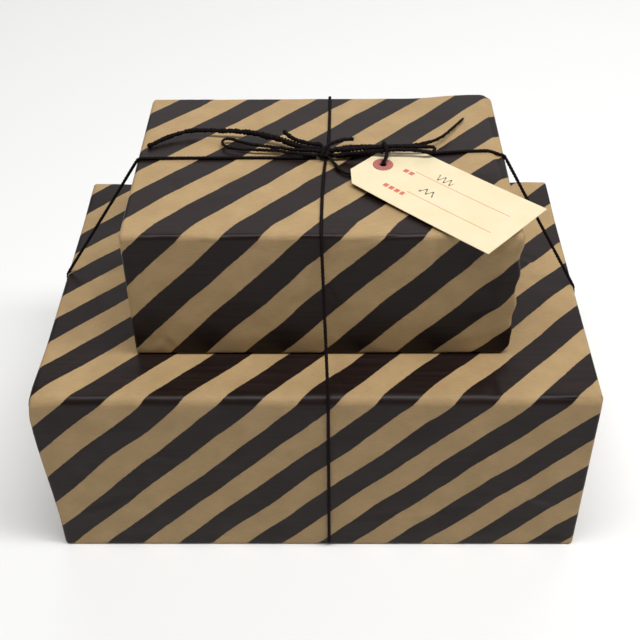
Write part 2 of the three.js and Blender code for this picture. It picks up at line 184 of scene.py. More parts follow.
def make_piece(name, shells, material, node, uv_name):
    """One object from several closed shells, each (places in mm, groups of faces, and for each group
    the uv of its corners in mm), that shows a CAD node in its material slot."""
    places, faces, uvs = [], [], []
    count = 0
    for shell_places, shell_faces, shell_uv in shells:
        places.append(np.asarray(shell_places, float).reshape(-1, 3))
        faces += [tuple(face) for group in shell_faces for face in (group + count).tolist()]
        uvs += [np.asarray(uv, float).reshape(-1, 2) for uv in shell_uv]
        count += len(places[-1])
    mesh = bpy.data.meshes.new(name)
    mesh.from_pydata((np.concatenate(places) * MM).tolist(), [], faces)
    layer = mesh.uv_layers.new(name=uv_name)
    layer.uv.foreach_set("vector", (np.concatenate(uvs) * MM).astype(np.float32).ravel())
    shell_mesh = bmesh.new()
    shell_mesh.from_mesh(mesh)
    bmesh.ops.recalc_face_normals(shell_mesh, faces=shell_mesh.faces)
    shell_mesh.to_mesh(mesh)
    shell_mesh.free()
    mesh.polygons.foreach_set("use_smooth", np.ones(len(mesh.polygons), bool))
    mesh.materials.append(material)
    piece = bpy.data.objects.new(name, mesh)
    bpy.context.scene.collection.objects.link(piece)
    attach(piece, "root")
    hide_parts(node)
    return piece


def slab(outer, inner, uv):
    """A closed sheet with thickness: two grids of the same shape, joined all round their rims."""
    rows, columns = outer.shape[:2]
    count = rows * columns
    number = np.arange(count).reshape(rows, columns)
    rim = np.concatenate([number[0, :-1], number[:-1, -1], number[-1, :0:-1], number[:0:-1, 0]])
    ahead = np.roll(rim, -1)
    wall = np.stack([rim, ahead, ahead + count, rim + count], -1)
    face = grid_faces(rows, columns)
    flat = uv.reshape(-1, 2)
    both = np.concatenate([flat, flat])
    places = np.concatenate([outer.reshape(-1, 3), inner.reshape(-1, 3)])
    groups = [face, face[:, ::-1] + count, wall]
    return places, groups, [both[group] for group in groups]


# ------------------------------------------------------------------ twine
def smooth_line(points, step):
    """A centripetal Catmull-Rom curve through the points: each span is a cubic whose ends lean on the
    neighbouring points, weighted by the roots of their distances. Given back at even steps."""
    p = np.asarray(points, float)
    p = np.vstack([2 * p[0] - p[1], p, 2 * p[-1] - p[-2]])
    root = np.sqrt(np.linalg.norm(np.diff(p, axis=0), axis=1))[:, None]
    before, start, end, after = p[:-3], p[1:-2], p[2:-1], p[3:]
    r0, r1, r2 = root[:-2], root[1:-1], root[2:]
    leave = ((start - before) / r0 - (end - before) / (r0 + r1) + (end - start) / r1) * r1
    arrive = ((end - start) / r1 - (after - start) / (r1 + r2) + (after - end) / r2) * r1
    t = np.linspace(0, 1, 24, endpoint=False)[None, :, None]
    start, end, leave, arrive = (a[:, None] for a in (start, end, leave, arrive))
    span = (
        start * (2 * t**3 - 3 * t**2 + 1) + leave * (t**3 - 2 * t**2 + t)
        + end * (3 * t**2 - 2 * t**3) + arrive * (t**3 - t**2))
    fine = np.vstack([span.reshape(-1, 3), p[-2]])
    along = distance_along(fine)
    even = np.linspace(0, along[-1], max(int(along[-1] / step), 8) + 1)
    return np.stack([np.interp(even, along, fine[:, k]) for k in range(3)], -1)


def distance_along(line):
    """The distance from a line's start to each of its points."""
    return np.concatenate([[0], np.cumsum(np.linalg.norm(np.diff(line, axis=0), axis=1))])


def unit(vectors):
    """Vectors divided by their lengths."""
    return vectors / np.linalg.norm(vectors, axis=-1, keepdims=True)


def frame_along(line, across):
    """Unit vectors along, beside and above a line, turned back by the angle that the pair beside and
    above has spun about the line so far, so that they don't twist."""
    ahead = unit(np.gradient(line, axis=0))
    beside = unit(across - (ahead @ across)[:, None] * ahead)
    above = np.cross(ahead, beside)
    steps = np.sum(np.diff(beside, axis=0) * above[:-1], axis=1)
    spun = np.concatenate([[0], np.cumsum(steps)])[:, None]
    turned_beside = np.cos(spun) * beside - np.sin(spun) * above
    turned_above = np.sin(spun) * beside + np.cos(spun) * above
    return ahead, turned_beside, turned_above


def wander(along, seed, longest=24.0, shortest=2.6, waves=9):
    """An uneven line between about -1 and 1: waves of falling length with seeded phases, summed."""
    rng = np.random.default_rng(seed)
    lengths = np.geomspace(longest, shortest, waves)
    phases = rng.uniform(0, FULL_TURN, waves)
    heights = rng.uniform(0.5, 1.0, waves)
    waves_at = np.sin(FULL_TURN * np.asarray(along)[..., None] / lengths + phases) * heights
    return waves_at.sum(-1) / np.sqrt((heights**2).sum()) * 0.7


PLIES = 3
PLY_PLACE = 0.42      # a ply's middle from the twine's middle, as a share of the twine's radius
PLY_SIZE = 0.58       # a ply's radius, as a share of the twine's
TWIST = 7.5           # millimetres for one full turn of the plies
RING = 18             # points round the twine
TWINE_STEP = 0.55


def ply_reach(turn):
    """How far the twine reaches at an angle: the far wall of the nearest of three round plies."""
    apart = FULL_TURN / PLIES
    off = (turn + apart / 2) % apart - apart / 2
    return PLY_PLACE * np.cos(off) + np.sqrt(PLY_SIZE**2 - (PLY_PLACE * np.sin(off)) ** 2)


def capped_tube(rings, uv_corners):
    """A closed tube from its rings of points: the rings joined, and each end fanned to its middle."""
    rows, columns = rings.shape[:2]
    number = np.arange(columns)
    ahead = np.roll(number, -1)
    last_ring = (rows - 1) * columns
    middle = rows * columns
    ends = [
        np.stack([ahead, number, np.full(columns, middle)], -1),
        np.stack([last_ring + number, last_ring + ahead, np.full(columns, middle + 1)], -1),
    ]
    places = np.concatenate([rings.reshape(-1, 3), rings[0].mean(0)[None], rings[-1].mean(0)[None]])
    face = grid_faces(rows, columns, round_columns=True)
    return places, [face, *ends], [uv_corners, np.zeros((columns, 3, 2)), np.zeros((columns, 3, 2))]


def twine_shell(line, radius, across, seed, slub):
    """Three plies twisted together and carried along the line: each ring is the plies' outline, scaled
    by the radius there and swelled by slubs. It rounds off over the last millimetre at both ends."""
    along = distance_along(line)
    _, beside, above = frame_along(line, across)
    turn = np.linspace(0, FULL_TURN, RING, endpoint=False)
    girth = radius * (1 + slub * wander(along, seed))
    to_end = np.minimum(along, along[-1] - along) / 0.9
    girth = girth * np.sqrt(1 - (1 - np.clip(to_end, 0.05, 1)) ** 2)
    reach = girth[:, None] * ply_reach(turn[None] - FULL_TURN * along[:, None] / TWIST)
    rings = line[:, None] + reach[..., None] * (
        np.cos(turn)[None, :, None] * beside[:, None] + np.sin(turn)[None, :, None] * above[:, None])
    round_it = np.linspace(0, FULL_TURN * TWINE, RING + 1)
    lead = round_it[None] - FULL_TURN * TWINE * along[:, None] / TWIST
    uv = np.stack([np.broadcast_to(along[:, None], lead.shape), lead], -1)
    return capped_tube(rings, grid_corners(uv))


FIBRE = 0.055         # radius of a loose fibre
FIBRE_RINGS = 4
FUZZ_REACH = 2.8      # no fibre reaches further than this from the middle of the twine


def fuzz_shell(line, radius, across, seed, per_mm, tips):
    """Loose fibres: each leaves the twine's wall, leans along it and curls, as a thin three-sided tube
    that narrows to its tip. The free ends of the line get a few longer ones that fan out."""
    rng = np.random.default_rng(seed)
    along = distance_along(line)
    ahead, beside, above = frame_along(line, across)
    count = int(along[-1] * per_mm) + 2 * tips
    spot = rng.integers(0, len(line), count)
    spot[:tips] = 1
    spot[tips:2 * tips] = len(line) - 2
    at_tip = np.arange(count) < 2 * tips
    turn = rng.uniform(0, FULL_TURN, count)[:, None]
    out = np.cos(turn) * beside[spot] + np.sin(turn) * above[spot]
    way = np.where(spot < 3, -1.0, np.where(spot > len(line) - 4, 1.0, rng.choice([-1.0, 1.0], count)))
    forwards = way[:, None] * ahead[spot] * rng.uniform(0.7, 1.6, (count, 1))
    lean = unit(forwards + out * rng.uniform(0.3, 0.8, (count, 1)))
    curl = unit(rng.normal(size=(count, 3)))
    length = np.where(at_tip, rng.uniform(0.8, 1.8, count), rng.uniform(0.6, 1.5, count))
    girth = radius[spot] if np.ndim(radius) else np.full(count, radius)
    root = line[spot] + out * girth[:, None] * np.where(at_tip, 0.35, 0.8)[:, None]
    share = np.linspace(0, 1, FIBRE_RINGS)[None, :, None]
    spine = root[:, None] + length[:, None, None] * (share * lean[:, None] + 0.32 * share**2 * curl[:, None])
    away = spine - line[spot][:, None]
    far = np.linalg.norm(away, axis=-1, keepdims=True)
    spine = line[spot][:, None] + away * np.minimum(1, FUZZ_REACH / far)
    spine[..., 2] = np.maximum(spine[..., 2], 2 * FIBRE)
    corner = np.arange(3) * FULL_TURN / 3
    side = unit(np.cross(lean, curl))
    rise = np.cross(lean, side)
    thick = FIBRE * (1 - 0.7 * share)[..., None]
    wheel = np.cos(corner)[None, :, None] * side[:, None] + np.sin(corner)[None, :, None] * rise[:, None]
    places = spine[:, :, None] + thick * wheel[:, None]
    first = (np.arange(count) * FIBRE_RINGS * 3)[:, None, None]
    wall = (first + grid_faces(FIBRE_RINGS, 3, round_columns=True)[None]).reshape(-1, 4)
    foot = first[:, 0] + np.array([[2, 1, 0]])
    tip = first[:, 0] + np.array([[0, 1, 2]]) + (FIBRE_RINGS - 1) * 3
    blank = [np.zeros((len(group), group.shape[1], 2)) for group in (wall, foot, tip)]
    return places.reshape(-1, 3), [wall, foot, tip], blank


def add_twine(name, line, radius, across, seed, slub, material, node, per_mm):
    """A piece of twine with its fuzz, per_mm fibres to a millimetre, in the place of a CAD node."""
    across = unit(np.asarray(across, float))
    shells = [
        twine_shell(line, radius, across, seed, slub),
        fuzz_shell(line, radius, across, seed + 1, per_mm, tips=12),
    ]
    # the parcels' weight presses the twine flat where it passes under them
    shells = [(np.maximum(places, [-math.inf, -math.inf, 0]), *rest) for places, *rest in shells]
    return make_piece(name, shells, material, node, "strand")


def corner_points(out, up, radius, from_turn, to_turn, count):
    """Points round a corner, [outwards, up]: turn 0 is straight up and 90 degrees is outwards."""
    turn = np.radians(np.linspace(from_turn, to_turn, count))
    return [list(point) for point in zip(out + radius * np.sin(turn), up + radius * np.cos(turn))]


def taut_side(small_half, small_roll, large_half, large_roll, stand=0.0):
    """The taut way down one side of the pair, [outwards, up], from the top to just above the base. It
    bites into the large parcel's edge, and below that it lies on what stands off the face."""
    upper = [small_half - small_roll, TOP - small_roll]
    lower = [large_half - large_roll, LARGE.height - large_roll]
    slope = math.degrees(math.atan2(upper[1] - lower[1], lower[0] - upper[0]))
    over_upper = corner_points(*upper, small_roll + TWINE, 0, slope, 5)
    over_lower = corner_points(*lower, large_roll + TWINE, slope, 90, 4)
    start, end = np.array(over_upper[-1]), np.array(over_lower[0])
    air = [list(start + (end - start) * share) for share in (0.35, 0.7)]
    large_half += stand
    face = [[large_half + TWINE, height] for height in (128, 95, 50, 14)]
    # round the bottom edge and under, sunk into the base
    foot = [
        [large_half + 1, 5], [large_half - 0.4, 2.3], [large_half - 2.8, 1.25], [large_half - 8, SUNK],
        [large_half - 14, SUNK], [large_half - 24, SUNK],
    ]
    return over_upper + air + over_lower + face + foot


def slant(height, below, above):
    """A sideways place that changes evenly while the twine crosses the air between the parcels."""
    share = np.clip((height - LARGE.height) / SMALL.height, 0, 1)
    return below + (above - below) * share


# The hump: its slopes along x and the height, then where it fades out across the parcel.
PUFF = SimpleNamespace(
    start=64.0, full=110.0, fall=116.0, end=122.0, height=2.5, front=-45.0, back=-12.0, drawn_in=3.0)


def puff_rise(x, y):
    """The loose paper at the small parcel's right end: a low hump that fades out towards the front. It
    reaches the end's edge, except where the twine draws it in."""
    free = PUFF.drawn_in * (1 - np.exp(-(((y - 11) / 9) ** 2)))
    along = smoothstep(PUFF.start, PUFF.full, x) * (1 - smoothstep(PUFF.fall, PUFF.end, x - free))
    return PUFF.height * along * smoothstep(PUFF.front, PUFF.back, y)


def front_back_route():
    """From the knot forwards, down the front, under the base, up the back and to the knot."""
    lay = TOP + TWINE
    back_shift = SMALL.place[1]
    front = taut_side(SMALL.depth / 2 - back_shift, SMALL.edge, LARGE.depth / 2, LARGE.edge)
    back = taut_side(SMALL.depth / 2 + back_shift, SMALL.edge, LARGE.depth / 2, LARGE.edge)
    return [
        [KNOT[0] - 0.3, KNOT[1] - KNOT_REACH, lay], [5.4, -9, lay], [4.6, -27, lay], [4.1, -52, lay],
        *[[slant(up, 7.8, 3.9), -out, up] for out, up in front],
        [BAND_X, -60, SUNK], [BAND_X, 0, SUNK], [BAND_X, 60, SUNK],
        *[[slant(up, 8.4, 9), out, up] for out, up in back[::-1]],
        [8.9, 62, lay], [8.4, 35, lay], [KNOT[0] + 1, KNOT[1] + KNOT_REACH, lay],
    ]


def side_route():
    """From the knot to the left, down, under the base and up the right end, over the loose paper."""
    lay = TOP + TWINE
    large = (LARGE.width / 2 - BITE, LARGE.end_roll, FOLD + BITE)
    left = taut_side(SMALL.width / 2 - SMALL.place[0], SMALL.end_roll, *large)
    right = taut_side(SMALL.width / 2 + SMALL.place[0], SMALL.end_roll, *large)
    right_y = (-12, -7, 9.6)    # just above the base, at the large parcel's top and at the small one's
    # underneath: x, y and the share of CROSSING that it rises over the other band
    under = [
        [-60, 5, 0], [-7.5, 0.1, 0], [-6, 0, 0], [2, -0.5, 0.7], [8, -1, 1], [14, -1.5, 0.7],
        [22, -2, 0], [23.5, -2.1, 0], [80, -6, 0],
    ]
    return [
        [KNOT[0] - KNOT_REACH, 6.6, lay], [-25, 6.9, lay], [-75, 7.1, lay],
        *[[-out, slant(up, 9, 6.6), up] for out, up in left],
        *[[x, y, SUNK + CROSSING * rise] for x, y, rise in under],
        *[[out, np.interp(up, (14, LARGE.height, TOP), right_y), up] for out, up in right[::-1]],
        *[[x, 10.6, lay + puff_rise(x, 11)] for x in (119, 115, 109, 102, 95, 88, 81, 74)],
        [60, 11.6, lay], [42, 11.4, lay], [27, 10, lay], [KNOT[0] + KNOT_REACH, 8, lay],
    ]


def knot_line():
    """A trefoil: two turns about the upright axis while the radius and height swing three times."""
    turn = np.linspace(0, 2 * FULL_TURN, 160)
    swing = 1.5 * turn
    out = KNOT_RING * (2 + np.cos(swing)) / 2
    rise = 0.85 * KNOT_RING * np.sin(swing) / 2
    places = np.stack([out * np.cos(turn), out * np.sin(turn), rise], -1)
    return places + KNOT


def wrap_line():
    """Two turns of a flat helix round the knot's waist, tucked in at both ends."""
    turn = np.linspace(-0.35 * math.pi, 4.35 * math.pi, 120)
    share = (turn - turn[0]) / (turn[-1] - turn[0])
    tuck = 1 - 0.45 * (1 - smoothstep(0, 0.1, share)) - 0.45 * smoothstep(0.9, 1, share)
    x = (share - 0.5) * 4.4
    return np.stack([x, 3.7 * np.cos(turn) * tuck, 2.15 * np.sin(turn) * tuck], -1) + KNOT + [0, 0, 0.3]


# name: (route, radii at even distances along it, slubs, far end)
STRANDS = {
    "bow_loop_left": (BOW_LOOP_LEFT, (1.4, 1.2, 1.1, 1.1, 1.3), 0.14, "object"),
    "bow_loop_right": (BOW_LOOP_RIGHT, (1.7, 1.5, 1.35, 1.4, 1.7), 0.18, "object"),
    "tail_left": (TAIL_LEFT, (1.7, 2.1, 2.3, 2.0, 1.7, 1.6, 1.55, 1.6), 0.2, "bare"),
    "tail_right": (TAIL_RIGHT, (1.6, 1.5, 1.3, 1.1, 0.9), 0.16, "bare"),
    "stub_left": (STUB_LEFT, (1.5, 1.5, 1.65), 0.18, "bare"),
    "stub_right": (STUB_RIGHT, (1.2, 1.3, 1.5), 0.18, "bare"),
    "tag_tie": (TAG_TIE, (1.2, 1.1, 1.1, 1.4, 1.3), 0.14, "object"),
}


def strand_line(points, seed, returns):
    """A strand's curve, tucked into the knot at its start and, for a loop, at its end, with the small
    kinks of twine that was pulled about before it was tied."""
    route = np.array(points, float) + [0, 0, TOP]
    tucked = [KNOT + 0.5 * (route[0] - KNOT), *route]
    if returns:
        tucked.append(KNOT + 0.5 * (route[-1] - KNOT))
    line = smooth_line(tucked, TWINE_STEP)
    along = distance_along(line)
    ends = smoothstep(0, 6, along) * smoothstep(0, 3, along[-1] - along)
    kinks = [wander(along, seed + k, 18, 4) * size for k, size in enumerate((0.22, 0.22, 0.12))]
    kink = np.stack(kinks, -1)
    return line + kink * ends[:, None]


def add_cords(material):
    """Every free strand of the bow and the tag's string, each built as its own piece of twine."""
    for number, (name, (points, radii, slub, far_end)) in enumerate(STRANDS.items()):
        seed = 40 + 10 * number
        line = strand_line(points, seed, name.startswith("bow_loop"))
        radius = np.interp(np.linspace(0, 1, len(line)), np.linspace(0, 1, len(radii)), radii)
        across = (0.5, 0.5, -0.7) if name == "tag_tie" else (0, 0.05, 1)
        piece = add_twine(name + "_twine", line, radius, across, seed, slub, material, name, 1.5)


def add_bands(material):
    """The two bands that the parcels hold all the way, and the knot where they meet."""
    front_back = smooth_line(front_back_route(), TWINE_STEP)
    side = smooth_line(side_route(), TWINE_STEP)
    bands = (("front_back", front_back, (1, 0, 0), 11), ("side", side, (0, 1, 0), 21))
    for name, line, across, seed in bands:
        add_twine(
            name + "_band_twine", line, BAND_GIRTH, across, seed, 0.05, material,
            "twine_" + name + "_band", 0.8)
    up = unit(np.array([0.05, 0.1, 1.0]))
    along_x = np.array([1.0, 0, 0])
    shells = []
    for line, radius, across, seed in ((knot_line(), 1.4, up, 31), (wrap_line(), 1.3, along_x, 33)):
        shells.append(twine_shell(line, radius, across, seed, 0.1))
        shells.append(fuzz_shell(line, radius, across, seed + 1, 2.5, tips=0))
    make_piece("knot_twine", shells, material, "knot", "strand")


# ------------------------------------------------------------------ wrapping paper
def straight(start, end, out, step):
    """Points from start up to, not including, end, a step or less apart, and their outward direction."""
    start, end = np.array(start, float), np.array(end, float)
    count = max(int(np.ceil(np.linalg.norm(end - start) / step)), 1)
    share = np.linspace(0, 1, count, endpoint=False)[:, None]
    return start + (end - start) * share, np.tile(np.array(out, float), (count, 1))


def bend(centre, radius, start, end, count=9):
    """The same round an arc between two angles in degrees, outwards from its centre."""
    turn = np.radians(np.linspace(start, end, count, endpoint=False))
    out = np.stack([np.cos(turn), np.sin(turn)], -1)
    return np.array(centre) + radius * out, out


def once_round(size):
    """One turn round a parcel in the plane across its length, from the seam underneath forwards, up
    the front, back over the top, down the back and to the seam: places, outward directions and the
    distance v along the sheet, which is equal to the height on the front face."""
    half, high, edge, foot = size.depth / 2, size.height, size.edge, size.foot
    near, far = min(size.seam, 16.0), -16.0
    runs = [
        straight((size.seam, 0), (near, 0), (0, -1), 4),
        straight((near, 0), (far, 0), (0, -1), 1.2),
        straight((far, 0), (foot - half, 0), (0, -1), 4),
        bend((foot - half, foot), foot, 270, 180),
        straight((-half, foot), (-half, high - edge), (-1, 0), PAPER_STEP),
        bend((edge - half, high - edge), edge, 180, 90, 13),
        straight((edge - half, high), (half - edge, high), (0, 1), PAPER_STEP),
        bend((half - edge, high - edge), edge, 90, 0, 13),
        straight((half, high - edge), (half, foot), (1, 0), PAPER_STEP),
        bend((half - foot, foot), foot, 0, -90),
        straight((half - foot, 0), (size.seam, 0), (0, -1), 4),
    ]
    places = np.concatenate([run[0] for run in runs] + [[[size.seam, 0]]])
    outs = np.concatenate([run[1] for run in runs] + [[[0, -1]]])
    v = np.concatenate([[0], np.cumsum(np.linalg.norm(np.diff(places, axis=0), axis=1))])
    on_front = np.flatnonzero((outs[:, 0] < -0.999) & (places[:, 1] > foot))[0]
    return places, outs, v - v[on_front] + places[on_front, 1]


def roll_inset(distance, radius):
    """How far a face has pulled in at a distance from the end, as it rolls over on a radius."""
    left = np.clip(radius - distance, 0, radius)
    return radius - np.sqrt(radius**2 - left**2)


def long_waves(x, v, seed, longest, shortest, waves=14):
    """Soft unevenness of a sheet, about -1 to 1: waves over the sheet with seeded headings, summed."""
    rng = np.random.default_rng(seed)
    total = np.zeros(np.broadcast(x, v).shape)
    for length in np.geomspace(longest, shortest, waves):
        heading = rng.uniform(0, math.pi)
        phase = rng.uniform(0, FULL_TURN)
        total += np.sin(FULL_TURN * (x * math.cos(heading) + v * math.sin(heading)) / length + phase)
    return total / math.sqrt(waves)


def crease(x, v, middle, heading, length, width, height):
    """A crease: a ridge with a shallow valley on one side, fading out along its length."""
    turn = math.radians(heading)
    along = (x - middle[0]) * math.cos(turn) + (v - middle[1]) * math.sin(turn)
    across = (v - middle[1]) * math.cos(turn) - (x - middle[0]) * math.sin(turn)
    valley = 0.8 * np.exp(-(((across - 1.6 * width) / (1.5 * width)) ** 2))
    ridge = np.exp(-((across / width) ** 2)) - valley
    return height * ridge * np.exp(-((along / length) ** 2))


def inside(value, low, high, soft):
    """1 between two limits and 0 outside them, with a soft change at both."""
    return smoothstep(low - soft, low, value) * (1 - smoothstep(high, high + soft, value))


# Creases: (x, v) of the middle, heading in degrees, length, width and height.
LARGE_CREASES = [
    ((-4, 172), 62, 26, 2.2, 0.59), ((160, 283), -37, 14, 2.2, 1.5), ((20, 160), 118, 14, 2.0, -0.51),
    ((-120, 150), 80, 16, 2.4, 0.51), ((118, 152), 96, 18, 2.4, 0.51), ((-60, 120), 84, 30, 3.0, 0.37),
    ((78, 118), 97, 30, 3.2, 0.37), ((-150, 40), 25, 30, 3.0, 0.42), ((150, 50), 160, 30, 3.0, 0.42),
    ((14, 128), 70, 12, 2.0, 0.59), ((2, 124), 112, 12, 2.0, 0.59), ((-168, 170), 40, 20, 2.4, 0.59),
    ((60, 30), 8, 60, 3.2, 0.27), ((-90, 90), 172, 50, 3.0, 0.27),
]
SMALL_CREASES = [
    ((-107, 8), 55, 14, 2.2, 0.85), ((-98, 12), 120, 12, 2.0, 0.68), ((72, 84), 92, 12, 2.6, -1.02),
    ((-6, 72), 68, 14, 1.8, 0.77), ((7, 58), 118, 16, 1.8, 0.68), ((98, 82), 60, 12, 2.2, 0.68),
    ((112, 60), 88, 24, 2.6, 0.85), ((-112, 70), 94, 20, 2.4, 0.59), ((40, 92), 14, 22, 2.2, 0.51),
    ((-60, 94), 170, 24, 2.2, 0.51), ((95, 132), 70, 22, 2.6, 0.77), ((60, 120), 30, 26, 3.0, 0.42),
    ((-85, 150), 140, 30, 3.0, 0.34), ((15, 108), 76, 12, 2.0, 0.51),
    ((112, 86), 38, 12, 2.2, 1.1), ((113, 64), 24, 9, 2.0, 0.8), ((108, 40), 30, 10, 2.2, 0.7),
]


GROOVE = SimpleNamespace(depth=2.4, half=1.9)    # pressed into the large parcel's base by the twine
PIT = SimpleNamespace(depth=4.9, long=8.0, wide=3.4, y=-1.0)    # where the two bands cross
SIDE_BAND_X = (-184, -60, -6, 8, 22, 80, 184)    # the side band's way across the base
SIDE_BAND_Y = (9, 5, 0, -1, -2, -6, -12)
SEAM_STEP = 0.35      # the end of the large sheet, lying over its start
POCKET = 0.75         # depth of the pocket that a seam's tape lies in


def open_paper(x, z, size, end_fade, top_fade, base_fade):
    """1 where the paper is free to wave, 0 at the ends and at the base. On the top it is held further
    in from the ends."""
    on_top = z > size.height - 1
    from_end = size.width / 2 - abs(x)
    return smoothstep(3 + 11 * on_top, end_fade + top_fade * on_top, from_end) * smoothstep(2, base_fade, z)


def tape_pocket(x, y, size, node):
    """The pocket underneath that a seam's tape lies in, as a depth."""
    low, high = box_mm(node) - size.place
    return POCKET * inside(x, low[0], high[0], 1.5) * inside(y, low[1], high[1], 1.5)


def large_relief(x, y, z, v):
    """How far the large parcel's paper stands out: soft waves and creases on the open faces, flat
    under the small parcel, and underneath grooves for the twine, a step at the seam and a pocket
    that the seam's tape lies in."""
    soft = 0.32 * long_waves(x, v, 5, 150, 34) + 0.1 * long_waves(x, v, 6, 34, 14)
    for one in LARGE_CREASES:
        soft = soft + crease(x, v, *one)
    over_x = inside(x - SMALL.place[0], -SMALL.width / 2, SMALL.width / 2, 12)
    over_y = inside(y - SMALL.place[1], -SMALL.depth / 2, SMALL.depth / 2, 8)
    covered = over_x * over_y * (z > LARGE.height - 1)
    from_band = x - BAND_X
    beside_twine = 1 - 0.8 * np.exp(-((from_band / 4) ** 2))
    face = (soft - 0.15) * open_paper(x, z, LARGE, 14, 20, 12) * (1 - covered) * beside_twine
    from_side_band = y - np.interp(x, SIDE_BAND_X, SIDE_BAND_Y)
    nearest = np.minimum(abs(from_band), abs(from_side_band))
    groove = GROOVE.depth * np.exp(-((nearest / GROOVE.half) ** 4))
    pit = PIT.depth * np.exp(-((from_band / PIT.long) ** 4) - ((y - PIT.y) / PIT.wide) ** 4)
    lapped = smoothstep(LARGE.seam, LARGE.seam + 1, y) * (1 - smoothstep(LARGE.seam + 12, 120, y))
    pocket = tape_pocket(x, y, LARGE, "lower_seam_tape")
    deepest = np.maximum(np.maximum(groove, pit), np.maximum(SEAM_STEP * lapped, pocket))
    return np.where(z < 1, -deepest, face)


def small_relief(x, y, z, v):
    """The same for the small parcel, with loose paper puffed up at its right end."""
    soft = 0.3 * long_waves(x, v, 15, 120, 30) + 0.1 * long_waves(x, v, 16, 30, 12)
    for one in SMALL_CREASES:
        soft = soft + crease(x, v, *one)
    on_top = z > SMALL.height - 1
    flat = np.where(on_top, 0.45, 1.0)
    front_band = np.exp(-(((x - 2.5) / 4) ** 2)) * (y < 0)
    side_band = np.exp(-(((y - 3) / 4) ** 2))
    beside_twine = 1 - 0.8 * np.maximum(front_band, side_band)
    face = (soft - 0.15) * open_paper(x, z, SMALL, 12, 18, 10) * flat * beside_twine
    face = face + np.where(on_top, puff_rise(x + SMALL.place[0], y + SMALL.place[1]), 0)
    return np.where(z < 1, -tape_pocket(x, y, SMALL, "upper_seam_tape"), face)


def large_slip(v):
    """How far the stripes have slid along the large parcel: the sheet was pulled slightly askew."""
    return 17.2 - 2.2 * (1 - smoothstep(134, 156, v))


def small_slip(v):
    """On the small parcel the sheet leans a little more, and slid as it went over the front edge."""
    return 14.5 + 0.045 * v + 4.0 * smoothstep(93, 112, v)


def parcel_stations(size, fine_at):
    """Places along the parcel: close together where the ends roll over and where the twine lies."""
    half = size.width / 2
    ends = np.array([0, 0.08, 0.3, 0.65, 1.1, 1.6, 2.2, 2.9, 3.6, 4.6])
    middle = np.arange(-half + 6, half - 5.5, PAPER_STEP)
    fine = fine_at + np.arange(-8, 8.1, 1.2)
    return np.unique(np.round(np.concatenate([-half + ends, half - ends, middle, fine]), 3))


def wrapped_tube(size, relief, slip, fine_at):
    """The sheet round the parcel's long faces, rolled over at the ends: a ring of points at each
    station. The sheet's own coordinates are the distance along the parcel, with the slip added, and
    the distance v round it."""
    line, outs, v = once_round(size)
    x = parcel_stations(size, fine_at)[:, None]
    half, from_end = size.depth / 2, size.width / 2 - abs(x)
    side = roll_inset(from_end, size.end_edge)
    over = roll_inset(from_end, size.end_roll)
    y0, z0 = line[None, :, 0], line[None, :, 1]
    radius = np.where(z0 > size.height / 2, size.edge, size.foot)
    core_y = np.clip(y0, radius - half, half - radius)
    y = core_y * (half - side - radius) / (half - radius) + (y0 - core_y)
    core_z = np.clip(z0, size.foot, size.height - size.edge)
    share = (core_z - size.foot) / (size.height - size.edge - size.foot)
    low, high = side + size.foot, size.height - over - size.edge
    z = low + share * (high - low) + (z0 - core_z)
    stand = relief(x, y0, z0, v[None])
    y, z = y + outs[None, :, 0] * stand, z + outs[None, :, 1] * stand
    rings = np.stack([np.broadcast_to(x, y.shape), y, z], -1)
    u = x + np.sign(x) * side + slip(v[None])
    uv = np.stack([u, np.broadcast_to(v[None], u.shape)], -1)
    return rings, uv


def end_cap(ring, size, end, slip, back_v):
    """The side flaps folded in over an end: the last ring shrunk in steps towards its middle."""
    shrink = np.array([1, 0.985, 0.955, 0.9, 0.82, 0.72, 0.6, 0.45, 0.3, 0.15])[:, None, None]
    middle = np.array([ring[0, 0], 0, size.height / 2])
    rings = middle + (ring[None] - middle) * shrink
    closed = np.concatenate([rings, rings[:, :1]], 1)
    y, z = closed[..., 1], closed[..., 2]
    front = y < 0
    v = np.where(front, z, back_v - z)
    u = end * (size.width / 2 + size.depth / 2 - abs(y)) + slip(v)
    return rings, np.stack([u, v], -1)


def wrapped_body(size, relief, slip, fine_at):
    """The closed skin of a parcel under its end flaps: the tube, and at each end a cap that starts on
    the tube's outermost ring and is closed by a fan of triangles round its middle."""
    rings, uv = wrapped_tube(size, relief, slip, fine_at)
    line, outs, v = once_round(size)
    on_back = np.flatnonzero((outs[:, 0] > 0.999) & (line[:, 1] > size.height / 2))[0]
    back_v = v[on_back] + line[on_back, 1]
    rings = rings[:, :-1]
    rows, columns = rings.shape[:2]
    number = np.arange(columns)
    count = rows * columns
    places = [rings.reshape(-1, 3)]
    groups = [grid_faces(rows, columns, round_columns=True)]
    corners = [grid_corners(uv)]
    for end, ring, start in ((-1, rings[0], 0), (1, rings[-1], count - columns)):
        cap, cap_uv = end_cap(ring, size, end, slip, back_v)
        face = grid_faces(len(cap), columns, round_columns=True)
        groups.append(np.where(face < columns, face + start, face - columns + count))
        corners.append(grid_corners(cap_uv))
        count += (len(cap) - 1) * columns
        last_ring = count - columns + number
        groups.append(np.stack([last_ring, np.roll(last_ring, -1), np.full(columns, count)], -1))
        corners.append(np.zeros((columns, 3, 2)))
        places += [cap[1:].reshape(-1, 3), cap[-1].mean(0)[None]]
        count += 1
    return np.concatenate(places), groups, corners


